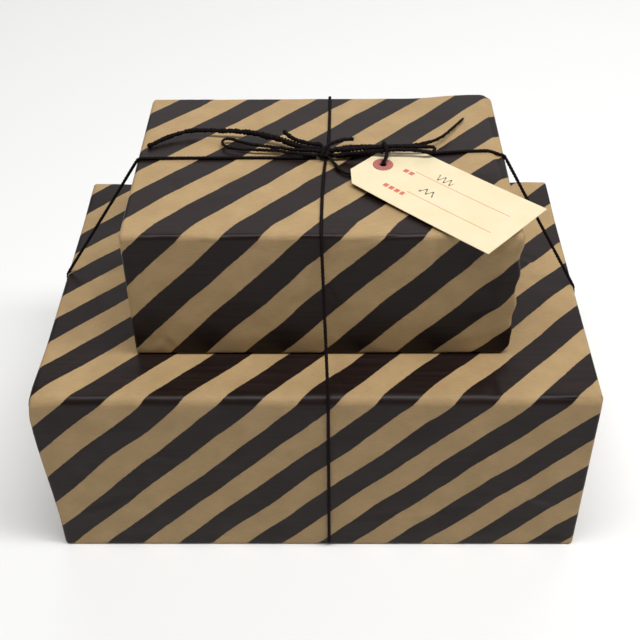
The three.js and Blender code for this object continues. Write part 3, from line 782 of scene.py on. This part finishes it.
def end_flap(size, end, upper, slip, v_at):
    """A flap folded over an end. Along it runs the distance q: over the face, round the roll and down
    the end, so that at each q it has a place and an outward direction. It starts just under the
    face, stands off the end, and narrows at 45 degrees. v_at gives the sheet's v at a place across."""
    roll = size.end_roll if upper else size.end_edge
    stand = FOLD if upper else FOLD / 2
    quarter = roll * math.pi / 2
    longest = quarter + (size.flap if upper else size.flap - 6) - roll
    tucked_in = np.arange(-9, 0, 1.5)
    round_edge = np.linspace(0, quarter, 10)
    down_end = np.arange(quarter + 1, longest, 2.0)
    q = np.concatenate([tucked_in, round_edge, down_end, [longest]])
    turn = np.clip(q / roll, 0, math.pi / 2)
    down = np.clip(q - quarter, 0, None)
    x = size.width / 2 - roll + np.minimum(q, 0) + roll * np.sin(turn)
    drop = roll * (1 - np.cos(turn)) + down
    narrowed = np.clip(down - (size.edge if upper else size.foot), 0, None)
    half = size.depth / 2 - 2 * size.end_edge - narrowed
    across = np.linspace(-1, 1, 61)
    across = np.sign(across) * (1 - (1 - abs(across)) ** 1.35)
    y = half[:, None] * across[None]
    to_side = half[:, None] - abs(y)
    seed = 70 + 4 * (end > 0) + 2 * upper
    # it rises out of the face, waves a little, hugs the end at its folded sides and lifts at its tip
    rise = smoothstep(-4, 14, q)[:, None] * (stand + 0.35) - 0.35
    off_end = smoothstep(6, 30, q)[:, None]
    loose = 0.16 * long_waves(y, q[:, None], seed, 90, 16) * off_end * smoothstep(0, 18, to_side)
    rolled = 0.45 * (1 - smoothstep(0, 2.6, to_side)) * smoothstep(quarter, quarter + 8, q)[:, None]
    tip = 0.3 * smoothstep(longest - 10, longest, q)[:, None] * smoothstep(16, 34, abs(y)) * upper
    outer_off = rise + np.minimum(loose, 0.05) - rolled + tip
    sheets = []
    thick = 0.5 if upper else 0.42
    for offset in (outer_off, outer_off - thick):
        out_x = x[:, None] + np.sin(turn)[:, None] * offset
        fall = drop[:, None] - np.cos(turn)[:, None] * offset
        height = size.height - fall if upper else fall
        sheets.append(np.stack([end * out_x, y, height], -1))
    v = np.broadcast_to(v_at(y), y.shape)
    u = end * (size.width / 2 - roll + q)[:, None] + slip(v)
    return slab(*sheets, np.stack([u, v], -1))


def small_bulge(places):
    """The small parcel's paper is loose round its right front upright edge: it stands proud there in
    a row of soft waves up the edge, draws in at the bottom corner, and dies away along both faces."""
    x, y, z = places.T
    wave_length, crest = 24, 66
    near = smoothstep(84, SMALL.width / 2 - 2, x) * (1 - smoothstep(0, 36, y + SMALL.depth / 2))
    wave = np.cos(FULL_TURN * (z - crest) / wave_length) * smoothstep(8, 34, z)
    out = 1.4 + 0.9 * wave - 3.6 * (1 - smoothstep(0, 8, z))
    return places + np.stack([near * out, -0.35 * near * wave, 0 * z], -1)


def large_bulge(places):
    """The large parcel's left front upright edge stands proud towards the top, where the corner is
    drawn down, and the top swells towards the back edge, except where the twine holds it down."""
    x, y, z = places.T
    from_left, from_front = x + LARGE.width / 2, y + LARGE.depth / 2
    near_edge = (1 - smoothstep(0, 80, from_left)) * (1 - smoothstep(0, 60, from_front))
    proud = near_edge * smoothstep(20, 120, z) * (1 - 0.6 * smoothstep(126, 147, z))
    near_corner = (1 - smoothstep(0, 20, from_left)) * (1 - smoothstep(0, 16, from_front))
    drawn = near_corner * smoothstep(110, 146, z)
    held = np.exp(-(((x - 8.8) / 20) ** 2))
    swell = smoothstep(66, 122, y) * smoothstep(90, 146, z) * (1 - held)
    return places + np.stack([-3.6 * proud, 1.6 * swell, 2.4 * swell - 1.8 * drawn], -1)


def add_parcel(name, node, size, relief, slip, fine_at, material, bulge):
    """A wrapped parcel: the sheet round it and four end flaps, in one piece."""
    line, outs, v = once_round(size)
    on_top = np.flatnonzero(outs[:, 1] > 0.999)[0]
    top_v = v[on_top] - line[on_top, 0]
    on_base = np.flatnonzero((outs[:, 1] < -0.999) & (line[:, 0] < 0))[0]
    base_v = v[on_base] + line[on_base, 0]
    shells = [wrapped_body(size, relief, slip, fine_at)]
    for end in (-1, 1):
        shells.append(end_flap(size, end, False, slip, lambda y: base_v - y))
        shells.append(end_flap(size, end, True, slip, lambda y: top_v + y))
    placed = [(bulge(places) + size.place, groups, corners) for places, groups, corners in shells]
    return make_piece(name, placed, material, node, "sheet")


# ------------------------------------------------------------------ card tag
# The card, its clipped corners, hole and patch, then the card's bend: its height at the hole end, how
# far it falls and sags towards the free end, and its tilt there.
TAG = SimpleNamespace(
    length=120.65, width=60.3, thick=0.33, clip=11.5, hole_from_end=12.0, hole=2.5,
    patch=6.75, patch_thick=0.3, rise=3.8, fall=1.2, sag=0.6, tilt=0.03)
TAG_HOLE = np.array([44.2, -6.6])
TAG_ANGLE = math.radians(-42.95)
TAG_GAP = 0.05        # between the card and a patch glued on it


def tag_place(along, across, lift):
    """The card's bend: held up by its string at the hole end, it sags on the way to its free end, and
    tilts a little there."""
    share = along / TAG.length
    bent = TAG.rise - TAG.fall * share - TAG.sag * np.sin(math.pi * share)
    height = bent + across * TAG.tilt * share + lift
    s = along - TAG.hole_from_end
    x = TAG_HOLE[0] + s * math.cos(TAG_ANGLE) - across * math.sin(TAG_ANGLE)
    y = TAG_HOLE[1] + s * math.sin(TAG_ANGLE) + across * math.cos(TAG_ANGLE)
    return np.stack([x, y, TOP + height], -1)


def tag_edge(turn):
    """Distance from the hole to the card's outline in a direction: the nearest of its six sides."""
    half = TAG.width / 2
    slope = math.sqrt(0.5)
    corner = (TAG.hole_from_end + half - TAG.clip) * slope
    sides = [
        (0.0, TAG.length - TAG.hole_from_end), (math.pi / 2, half), (-math.pi / 2, half),
        (math.pi, TAG.hole_from_end), (0.75 * math.pi, corner), (-0.75 * math.pi, corner),
    ]
    away = [distance / np.maximum(np.cos(turn - facing), 1e-6) for facing, distance in sides]
    return np.min(away, axis=0)


def ring_slab(turn, outline, lift, thick):
    """A flat ring between the hole and an outline, with thickness: one closed section, over the face,
    round the cut edge, back under it and up the hole's wall, carried all the way round the hole."""
    share = np.concatenate([[0], np.linspace(0.01, 0.99, 26), [1]])
    edge = np.linspace(-0.5, 0.5, 4)[1:-1]
    across = np.concatenate([share, [1, 1], share[::-1], [0, 0]])
    level = np.concatenate([share * 0 + 0.5, -edge, share * 0 - 0.5, edge])
    reach = TAG.hole + (outline[:, None] - TAG.hole) * across[None]
    along = TAG.hole_from_end + reach * np.cos(turn)[:, None]
    aside = reach * np.sin(turn)[:, None]
    places = tag_place(along, aside, lift + level[None] * thick)
    rows, columns = reach.shape
    face = grid_faces(rows, columns, round_rows=True, round_columns=True)
    uv = np.stack([along, aside], -1).reshape(-1, 2)
    return places.reshape(-1, 3), [face], [uv[face]]


def add_tag(card, fibre):
    """The card with its two patches, one on each side of the hole."""
    half = TAG.width / 2
    corners = [
        (-TAG.hole_from_end, half - TAG.clip), (TAG.clip - TAG.hole_from_end, half),
        (TAG.length - TAG.hole_from_end, half), (TAG.length - TAG.hole_from_end, -half),
        (TAG.clip - TAG.hole_from_end, -half), (-TAG.hole_from_end, TAG.clip - half),
    ]
    at_corners = [math.atan2(aside, along) % FULL_TURN for along, aside in corners]
    even = np.linspace(0, FULL_TURN, 240, endpoint=False)
    turn = np.unique(np.round(np.concatenate([even, at_corners]), 6))
    board = ring_slab(turn, tag_edge(turn), 0, TAG.thick)
    make_piece("card_tag", [board], card, "tag_card", "card")
    lift = TAG.thick / 2 + TAG_GAP + TAG.patch_thick / 2
    patch = np.full(len(even), TAG.patch)
    for side, node in ((1, "tag_patch_front"), (-1, "tag_patch_back")):
        shell = ring_slab(even, patch, side * lift, TAG.patch_thick)
        make_piece(node + "_ring", [shell], fibre, node, "card")


# ------------------------------------------------------------------ tape
def add_tape(name, node, flat_axis, towards, material):
    """A strip of tape with the small teeth of a cutter at both ends, as thick as film, laid where its
    node's inner face is. flat_axis is the axis across its thickness and towards the way it faces."""
    low, high = box_mm(node)
    size = high - low
    axes = [axis for axis in range(3) if axis != flat_axis]
    long_axis = max(axes, key=lambda axis: size[axis])
    wide_axis = min(axes, key=lambda axis: size[axis])
    tooth = 1.6
    tooth_depth = 0.5
    along = np.linspace(-1, 1, 41)[:, None]
    half_width = size[wide_axis] / 2
    wide = np.linspace(-half_width, half_width, 2 * int(size[wide_axis] / tooth) + 1)[None]
    zigzag = np.where(np.arange(wide.shape[1]) % 2, -1, 1)[None]
    teeth = tooth_depth * zigzag * np.sign(along) * smoothstep(0.97, 1, abs(along))
    length = along * (size[long_axis] / 2 - tooth_depth) + teeth
    seed = 90 + len(name)
    wave = 0.04 * long_waves(length, wide, seed, 30, 9)
    inner_face = low[flat_axis] if towards > 0 else high[flat_axis]
    base = inner_face - towards * 0.12
    sheets = []
    for lift in (0.2, 0.1):
        places = np.zeros((*length.shape, 3))
        places[..., long_axis] = (low + high)[long_axis] / 2 + length
        places[..., wide_axis] = (low + high)[wide_axis] / 2 + wide
        places[..., flat_axis] = base + towards * (lift + wave)
        sheets.append(places)
    uv = np.stack([length, np.broadcast_to(wide, length.shape)], -1)
    make_piece(name, [slab(*sheets, uv)], material, node, "tape")


# ------------------------------------------------------------------ materials
def colour(code):
    """sRGB hex to linear: a twelfth slope near black and the 2.4 power above it."""
    values = [int(code[k:k + 2], 16) / 255 for k in (1, 3, 5)]
    return [v / 12.92 if v <= 0.04045 else ((v + 0.055) / 1.055) ** 2.4 for v in values] + [1.0]


def add(tree, kind, inputs=None, output=0, **settings):
    """Adds a shader node and gives back one of its outputs. An input is a value for its socket or
    another node's output to link to it. MapRange's numbered inputs are the value, the range it comes
    from (1, 2) and the range it goes to (3, 4); Mix's are the share and the two numbers (2, 3) or
    colours (6, 7) that it lies between."""
    node = tree.nodes.new("ShaderNode" + kind)
    for name, value in settings.items():
        setattr(node, name, value)
    for key, value in (inputs or {}).items():
        if isinstance(value, bpy.types.NodeSocket):
            tree.links.new(value, node.inputs[key])
        else:
            node.inputs[key].default_value = value
    return node.outputs[output] if node.outputs else None


def new_material(name):
    """A material with an empty node tree."""
    material = bpy.data.materials.new(name)
    material.use_nodes = True
    material.node_tree.nodes.clear()
    return material, material.node_tree


STRIPE = 50.2         # the stripes repeat at this distance along the parcel


def striped_kraft_wrap():
    """Kraft gift wrap, machine glazed on one side, with broad diagonal stripes printed in black ink.
    The kraft is warm brown with fine long fibres and a faint rib across the roll. The ink lies
    on top with a soft gloss, thinner in streaks where the roller left less of it, and its edges
    wander by a millimetre where the sheet was printed damp."""
    material, tree = new_material("striped_kraft_wrap")
    sheet = add(tree, "UVMap", uv_map="sheet")
    u = add(tree, "SeparateXYZ", {0: sheet}, "X")
    v = u.node.outputs["Y"]

    # Edge wander: long waves of about 60 mm, and a 4 mm tremor from the paper's fibres.
    slow = add(tree, "TexNoise", {"Vector": sheet, "Scale": 1 / 0.055, "Detail": 1.5})
    quick = add(tree, "TexNoise", {"Vector": sheet, "Scale": 1 / 0.004, "Detail": 2.0})
    slow_mm = add(tree, "MapRange", {0: slow, 3: -3.6 * MM, 4: 3.6 * MM})
    quick_mm = add(tree, "MapRange", {0: quick, 3: -0.5 * MM, 4: 0.5 * MM})
    lean = add(tree, "Math", {0: u, 1: v}, operation="SUBTRACT")
    wandered = add(tree, "Math", {0: lean, 1: slow_mm}, operation="ADD")
    trembled = add(tree, "Math", {0: wandered, 1: quick_mm}, operation="ADD")
    half = STRIPE * MM / 2
    off_kraft = add(tree, "Math", {0: trembled, 1: half}, operation="PINGPONG")
    soft = 0.35 * MM
    printed = add(tree, "MapRange", {0: off_kraft, 1: half / 2 - soft, 2: half / 2 + soft})

    # Fibres: 0.25 mm wide and ten times as long. Rib: about 1.2 mm apart, running along the parcel.
    along = add(tree, "Mapping", {"Vector": sheet, "Scale": (0.1, 1, 1)})
    fibre = add(tree, "TexNoise", {"Vector": along, "Scale": 1 / 0.0006, "Detail": 4.0})
    rib_way = add(tree, "Mapping", {"Vector": sheet, "Scale": (0.03, 1, 1)})
    rib = add(tree, "TexNoise", {"Vector": rib_way, "Scale": 1 / 0.0022, "Detail": 2.0})
    cloud = add(tree, "TexNoise", {"Vector": sheet, "Scale": 1 / 0.022, "Detail": 5.0})
    fleck = add(tree, "TexNoise", {"Vector": sheet, "Scale": 1 / 0.0011, "Detail": 1.0})

    kraft_light, kraft_dark = colour("#ae936a"), colour("#a08660")
    tone = add(tree, "MapRange", {0: cloud, 1: 0.3, 2: 0.7})
    kraft = add(tree, "Mix", {0: tone, 6: kraft_dark, 7: kraft_light}, 2, data_type="RGBA")
    fibre_tone = add(tree, "MapRange", {0: fibre, 1: 0.35, 2: 0.65, 3: 0.0, 4: 0.22})
    kraft = add(tree, "Mix", {0: fibre_tone, 6: kraft, 7: colour("#7d6342")}, 2, data_type="RGBA")
    specks = add(tree, "MapRange", {0: fleck, 1: 0.68, 2: 0.76, 3: 0.0, 4: 0.5})
    kraft = add(tree, "Mix", {0: specks, 6: kraft, 7: colour("#5e462e")}, 2, data_type="RGBA")

    ink_tone = add(tree, "MapRange", {0: rib, 1: 0.35, 2: 0.7})
    ink = add(tree, "Mix", {0: ink_tone, 6: colour("#160d0b"), 7: colour("#211613")}, 2, data_type="RGBA")
    base = add(tree, "Mix", {0: printed, 6: kraft, 7: ink}, 2, data_type="RGBA")

    kraft_rough = add(tree, "MapRange", {0: fibre, 3: 0.52, 4: 0.68})
    ink_rough = add(tree, "MapRange", {0: rib, 3: 0.36, 4: 0.5})
    rough = add(tree, "Mix", {0: printed, 2: kraft_rough, 3: ink_rough})

    fine = add(tree, "Bump", {"Height": fibre, "Distance": 0.03 * MM, "Strength": 0.5})
    ribbed = add(tree, "Bump", {"Height": rib, "Distance": 0.05 * MM, "Strength": 0.6, "Normal": fine})
    cockle = add(tree, "TexNoise", {"Vector": sheet, "Scale": 1 / 0.016, "Detail": 2.0})
    cockled = add(tree, "Bump", {
        "Height": cockle, "Distance": 0.5 * MM, "Strength": 0.5, "Normal": ribbed})
    shader = add(tree, "BsdfPrincipled", {
        "Base Color": base, "Roughness": rough, "Specular IOR Level": 0.18, "Normal": cockled})
    add(tree, "OutputMaterial", {0: shader})
    return material


def waxed_black_twine():
    """Black hemp twine, three plies, lightly waxed. Its fibres run with the plies and catch a little
    light; between them it is nearly black."""
    material, tree = new_material("waxed_black_twine")
    strand = add(tree, "UVMap", uv_map="strand")
    # Fibres 0.12 mm wide and about twelve times as long, drawn along the ply.
    drawn = add(tree, "Mapping", {"Vector": strand, "Scale": (0.09, 1, 1)})
    fibre = add(tree, "TexNoise", {"Vector": drawn, "Scale": 1 / 0.00035, "Detail": 3.0})
    tone = add(tree, "MapRange", {0: fibre, 1: 0.35, 2: 0.7})
    base = add(tree, "Mix", {0: tone, 6: colour("#0a0506"), 7: colour("#1a1011")}, 2, data_type="RGBA")
    rough = add(tree, "MapRange", {0: fibre, 3: 0.6, 4: 0.85})
    bump = add(tree, "Bump", {"Height": fibre, "Distance": 0.12 * MM, "Strength": 0.7})
    shader = add(tree, "BsdfPrincipled", {
        "Base Color": base, "Roughness": rough, "Specular IOR Level": 0.1, "Normal": bump})
    add(tree, "OutputMaterial", {0: shader})
    return material


def between(tree, value, low, high, soft=0.12 * MM):
    """1 where a distance on the card lies between two limits, with an edge as soft as ink on card."""
    above = add(tree, "MapRange", {0: value, 1: low - soft, 2: low + soft})
    below = add(tree, "MapRange", {0: value, 1: high - soft, 2: high + soft, 3: 1.0, 4: 0.0})
    return add(tree, "Math", {0: above, 1: below}, operation="MULTIPLY")


# Red print on the card, millimetres along and across it from the middle of its hole end: two rules
# to write on and small plain blocks in front of them. (from, to, low, high)
CARD_PRINT = [
    (33, 108, 8.3, 8.75), (43, 109, -12.7, -12.25),
    (26, 29.4, 3.2, 6.8), (30.6, 34, 3.2, 6.8),
    (27, 30.4, -18.2, -14.6), (31.6, 35, -18.2, -14.6),
    (36.2, 39.6, -18.2, -14.6), (40.8, 43.6, -18.2, -14.6),
]
# Pen scribbles: (from, to, middle, height of the wave, length of one wave)
CARD_PEN = [(47, 60, 13.5, 2.6, 4.6), (48, 59, -4.5, 2.2, 5.0)]


def printed_manila_card():
    """Manila tag board: smooth calendered card, cream, with short pale fibres. The print is a thin
    red ink and the pen marks are black."""
    material, tree = new_material("printed_manila_card")
    card = add(tree, "UVMap", uv_map="card")
    along = add(tree, "SeparateXYZ", {0: card}, "X")
    aside = along.node.outputs["Y"]
    fibre = add(tree, "TexNoise", {"Vector": card, "Scale": 1 / 0.0014, "Detail": 4.0})
    cloud = add(tree, "TexNoise", {"Vector": card, "Scale": 1 / 0.02, "Detail": 3.0})
    tone = add(tree, "MapRange", {0: cloud, 1: 0.3, 2: 0.7})
    base = add(tree, "Mix", {0: tone, 6: colour("#d8c9a3"), 7: colour("#decfae")}, 2, data_type="RGBA")
    speck = add(tree, "MapRange", {0: fibre, 1: 0.6, 2: 0.72, 3: 0.0, 4: 0.25})
    base = add(tree, "Mix", {0: speck, 6: base, 7: colour("#cdb689")}, 2, data_type="RGBA")
    # The print is only on the face that looks up.
    up = add(tree, "SeparateXYZ", {0: add(tree, "NewGeometry", output="Normal")}, "Z")
    on_face = add(tree, "Math", {0: up, 1: 0.5}, operation="GREATER_THAN")
    red, black = None, None
    for start, end, low, high in CARD_PRINT:
        mark = add(tree, "Math", {
            0: between(tree, along, start * MM, end * MM), 1: between(tree, aside, low * MM, high * MM),
        }, operation="MULTIPLY")
        red = mark if red is None else add(tree, "Math", {0: red, 1: mark}, operation="MAXIMUM")
    for start, end, middle, height, wave in CARD_PEN:
        phase = add(tree, "Math", {0: along, 1: FULL_TURN / (wave * MM)}, operation="MULTIPLY")
        swing = add(tree, "Math", {0: phase}, operation="SINE")
        line = add(tree, "Math", {
            0: swing, 1: height * MM, 2: middle * MM}, operation="MULTIPLY_ADD")
        off = add(tree, "Math", {0: aside, 1: line}, operation="SUBTRACT")
        stroke = between(tree, off, -0.75 * MM, 0.75 * MM)
        mark = add(tree, "Math", {
            0: stroke, 1: between(tree, along, start * MM, end * MM)}, operation="MULTIPLY")
        black = mark if black is None else add(
            tree, "Math", {0: black, 1: mark}, operation="MAXIMUM")
    red = add(tree, "Math", {0: red, 1: on_face}, operation="MULTIPLY")
    red = add(tree, "Math", {0: red, 1: 0.85}, operation="MULTIPLY")
    black = add(tree, "Math", {0: black, 1: on_face}, operation="MULTIPLY")
    base = add(tree, "Mix", {0: red, 6: base, 7: colour("#c03e3b")}, 2, data_type="RGBA")
    base = add(tree, "Mix", {0: black, 6: base, 7: colour("#221d20")}, 2, data_type="RGBA")
    rough = add(tree, "MapRange", {0: fibre, 3: 0.5, 4: 0.66})
    bump = add(tree, "Bump", {"Height": fibre, "Distance": 0.03 * MM, "Strength": 0.5})
    shader = add(tree, "BsdfPrincipled", {
        "Base Color": base, "Roughness": rough, "IOR": 1.48, "Normal": bump})
    add(tree, "OutputMaterial", {0: shader})
    return material


def red_vulcanised_fibre():
    """The reinforcing ring of a tag: hard red fibre board punched from sheet, dull, a little mottled."""
    material, tree = new_material("red_vulcanised_fibre")
    card = add(tree, "UVMap", uv_map="card")
    grain = add(tree, "TexNoise", {"Vector": card, "Scale": 1 / 0.0012, "Detail": 4.0})
    tone = add(tree, "MapRange", {0: grain, 1: 0.3, 2: 0.7})
    base = add(tree, "Mix", {0: tone, 6: colour("#96504a"), 7: colour("#ae6a62")}, 2, data_type="RGBA")
    rough = add(tree, "MapRange", {0: grain, 3: 0.5, 4: 0.75})
    bump = add(tree, "Bump", {"Height": grain, "Distance": 0.04 * MM, "Strength": 0.5})
    shader = add(tree, "BsdfPrincipled", {"Base Color": base, "Roughness": rough, "Normal": bump})
    add(tree, "OutputMaterial", {0: shader})
    return material


def clear_acetate_tape():
    """Clear adhesive tape: glossy acetate film, slightly yellow, with drawn streaks along its length."""
    material, tree = new_material("clear_acetate_tape")
    tape = add(tree, "UVMap", uv_map="tape")
    drawn = add(tree, "Mapping", {"Vector": tape, "Scale": (0.05, 1, 1)})
    streak = add(tree, "TexNoise", {"Vector": drawn, "Scale": 1 / 0.0015, "Detail": 3.0})
    base = add(tree, "Mix", {0: streak, 6: colour("#d9cba6"), 7: colour("#efe6cf")}, 2, data_type="RGBA")
    rough = add(tree, "MapRange", {0: streak, 3: 0.12, 4: 0.3})
    shader = add(tree, "BsdfPrincipled", {"Base Color": base, "Roughness": rough, "IOR": 1.48, "Alpha": 0.3})
    add(tree, "OutputMaterial", {0: shader})
    return material


def white_floor_sheet():
    """A plain white board, matte, with the faintest unevenness."""
    material, tree = new_material("white_floor_sheet")
    place = add(tree, "TexCoord", output="Object")
    cloud = add(tree, "TexNoise", {"Vector": place, "Scale": 1.5, "Detail": 2.0})
    base = add(tree, "Mix", {0: cloud, 6: colour("#e9e9e8"), 7: colour("#ececeb")}, 2, data_type="RGBA")
    shader = add(tree, "BsdfPrincipled", {"Base Color": base, "Roughness": 0.8})
    add(tree, "OutputMaterial", {0: shader})
    return material


# ------------------------------------------------------------------ floor and light
def add_floor():
    """A flat white square, 24 m across."""
    mesh = bpy.data.meshes.new("floor")
    reach = 12.0
    corners = [(-reach, -reach, 0), (reach, -reach, 0), (reach, reach, 0), (-reach, reach, 0)]
    mesh.from_pydata(corners, [], [(0, 1, 2, 3)])
    mesh.materials.append(white_floor_sheet())
    floor = bpy.data.objects.new("floor", mesh)
    bpy.context.scene.collection.objects.link(floor)


def add_light(name, place, target, energy, length, depth):
    """A rectangular panel of light at a place, facing a target."""
    data = bpy.data.lights.new(name, "AREA")
    data.energy = energy
    data.shape = "RECTANGLE"
    data.size = length
    data.size_y = depth
    light = bpy.data.objects.new(name, data)
    back = (Vector(place) - Vector(target)).normalized()
    light.matrix_world = Matrix.Translation(place) @ back.to_track_quat("Z", "Y").to_matrix().to_4x4()
    bpy.context.scene.collection.objects.link(light)


def add_lights():
    """A wide soft light from overhead and a softbox behind the pair, in a dim white room."""
    add_light("overhead", (0.75, -0.4, 2.5), (0.75, -0.4, 0), 90, 3.6, 0.7)
    add_light("back_softbox", (0.2, 1.9, 1.6), (0, 0, 0.1), 20, 3.0, 1.6)
    world = bpy.data.worlds.new("room")
    world.use_nodes = True
    tree = world.node_tree
    tree.nodes.clear()
    heading = add(tree, "TexCoord", output="Generated")
    level = add(tree, "SeparateXYZ", {0: heading}, "Z")
    strength = add(tree, "MapRange", {0: level, 1: 0.02, 2: 0.14, 3: 0.95, 4: 0.12})
    sky = add(tree, "Background", {"Color": colour("#fdfdff"), "Strength": strength})
    add(tree, "OutputWorld", {0: sky})
    bpy.context.scene.world = world
    bpy.context.scene.view_settings.view_transform = "Standard"


def main():
    """Every piece with its material, then the room round it."""
    twine = waxed_black_twine()
    add_cords(twine)
    add_bands(twine)
    paper = striped_kraft_wrap()
    add_parcel("lower_wrap", "lower_parcel", LARGE, large_relief, large_slip, 8.0, paper, large_bulge)
    add_parcel("upper_wrap", "upper_parcel", SMALL, small_relief, small_slip, 1.5, paper, small_bulge)
    add_tag(printed_manila_card(), red_vulcanised_fibre())
    tape = clear_acetate_tape()
    for parcel in ("lower", "upper"):
        add_tape(parcel + "_left_tape", parcel + "_left_end_tape", 0, -1, tape)
        add_tape(parcel + "_right_tape", parcel + "_right_end_tape", 0, 1, tape)
        add_tape(parcel + "_under_tape", parcel + "_seam_tape", 2, -1, tape)
    add_floor()
    add_lights()


main()
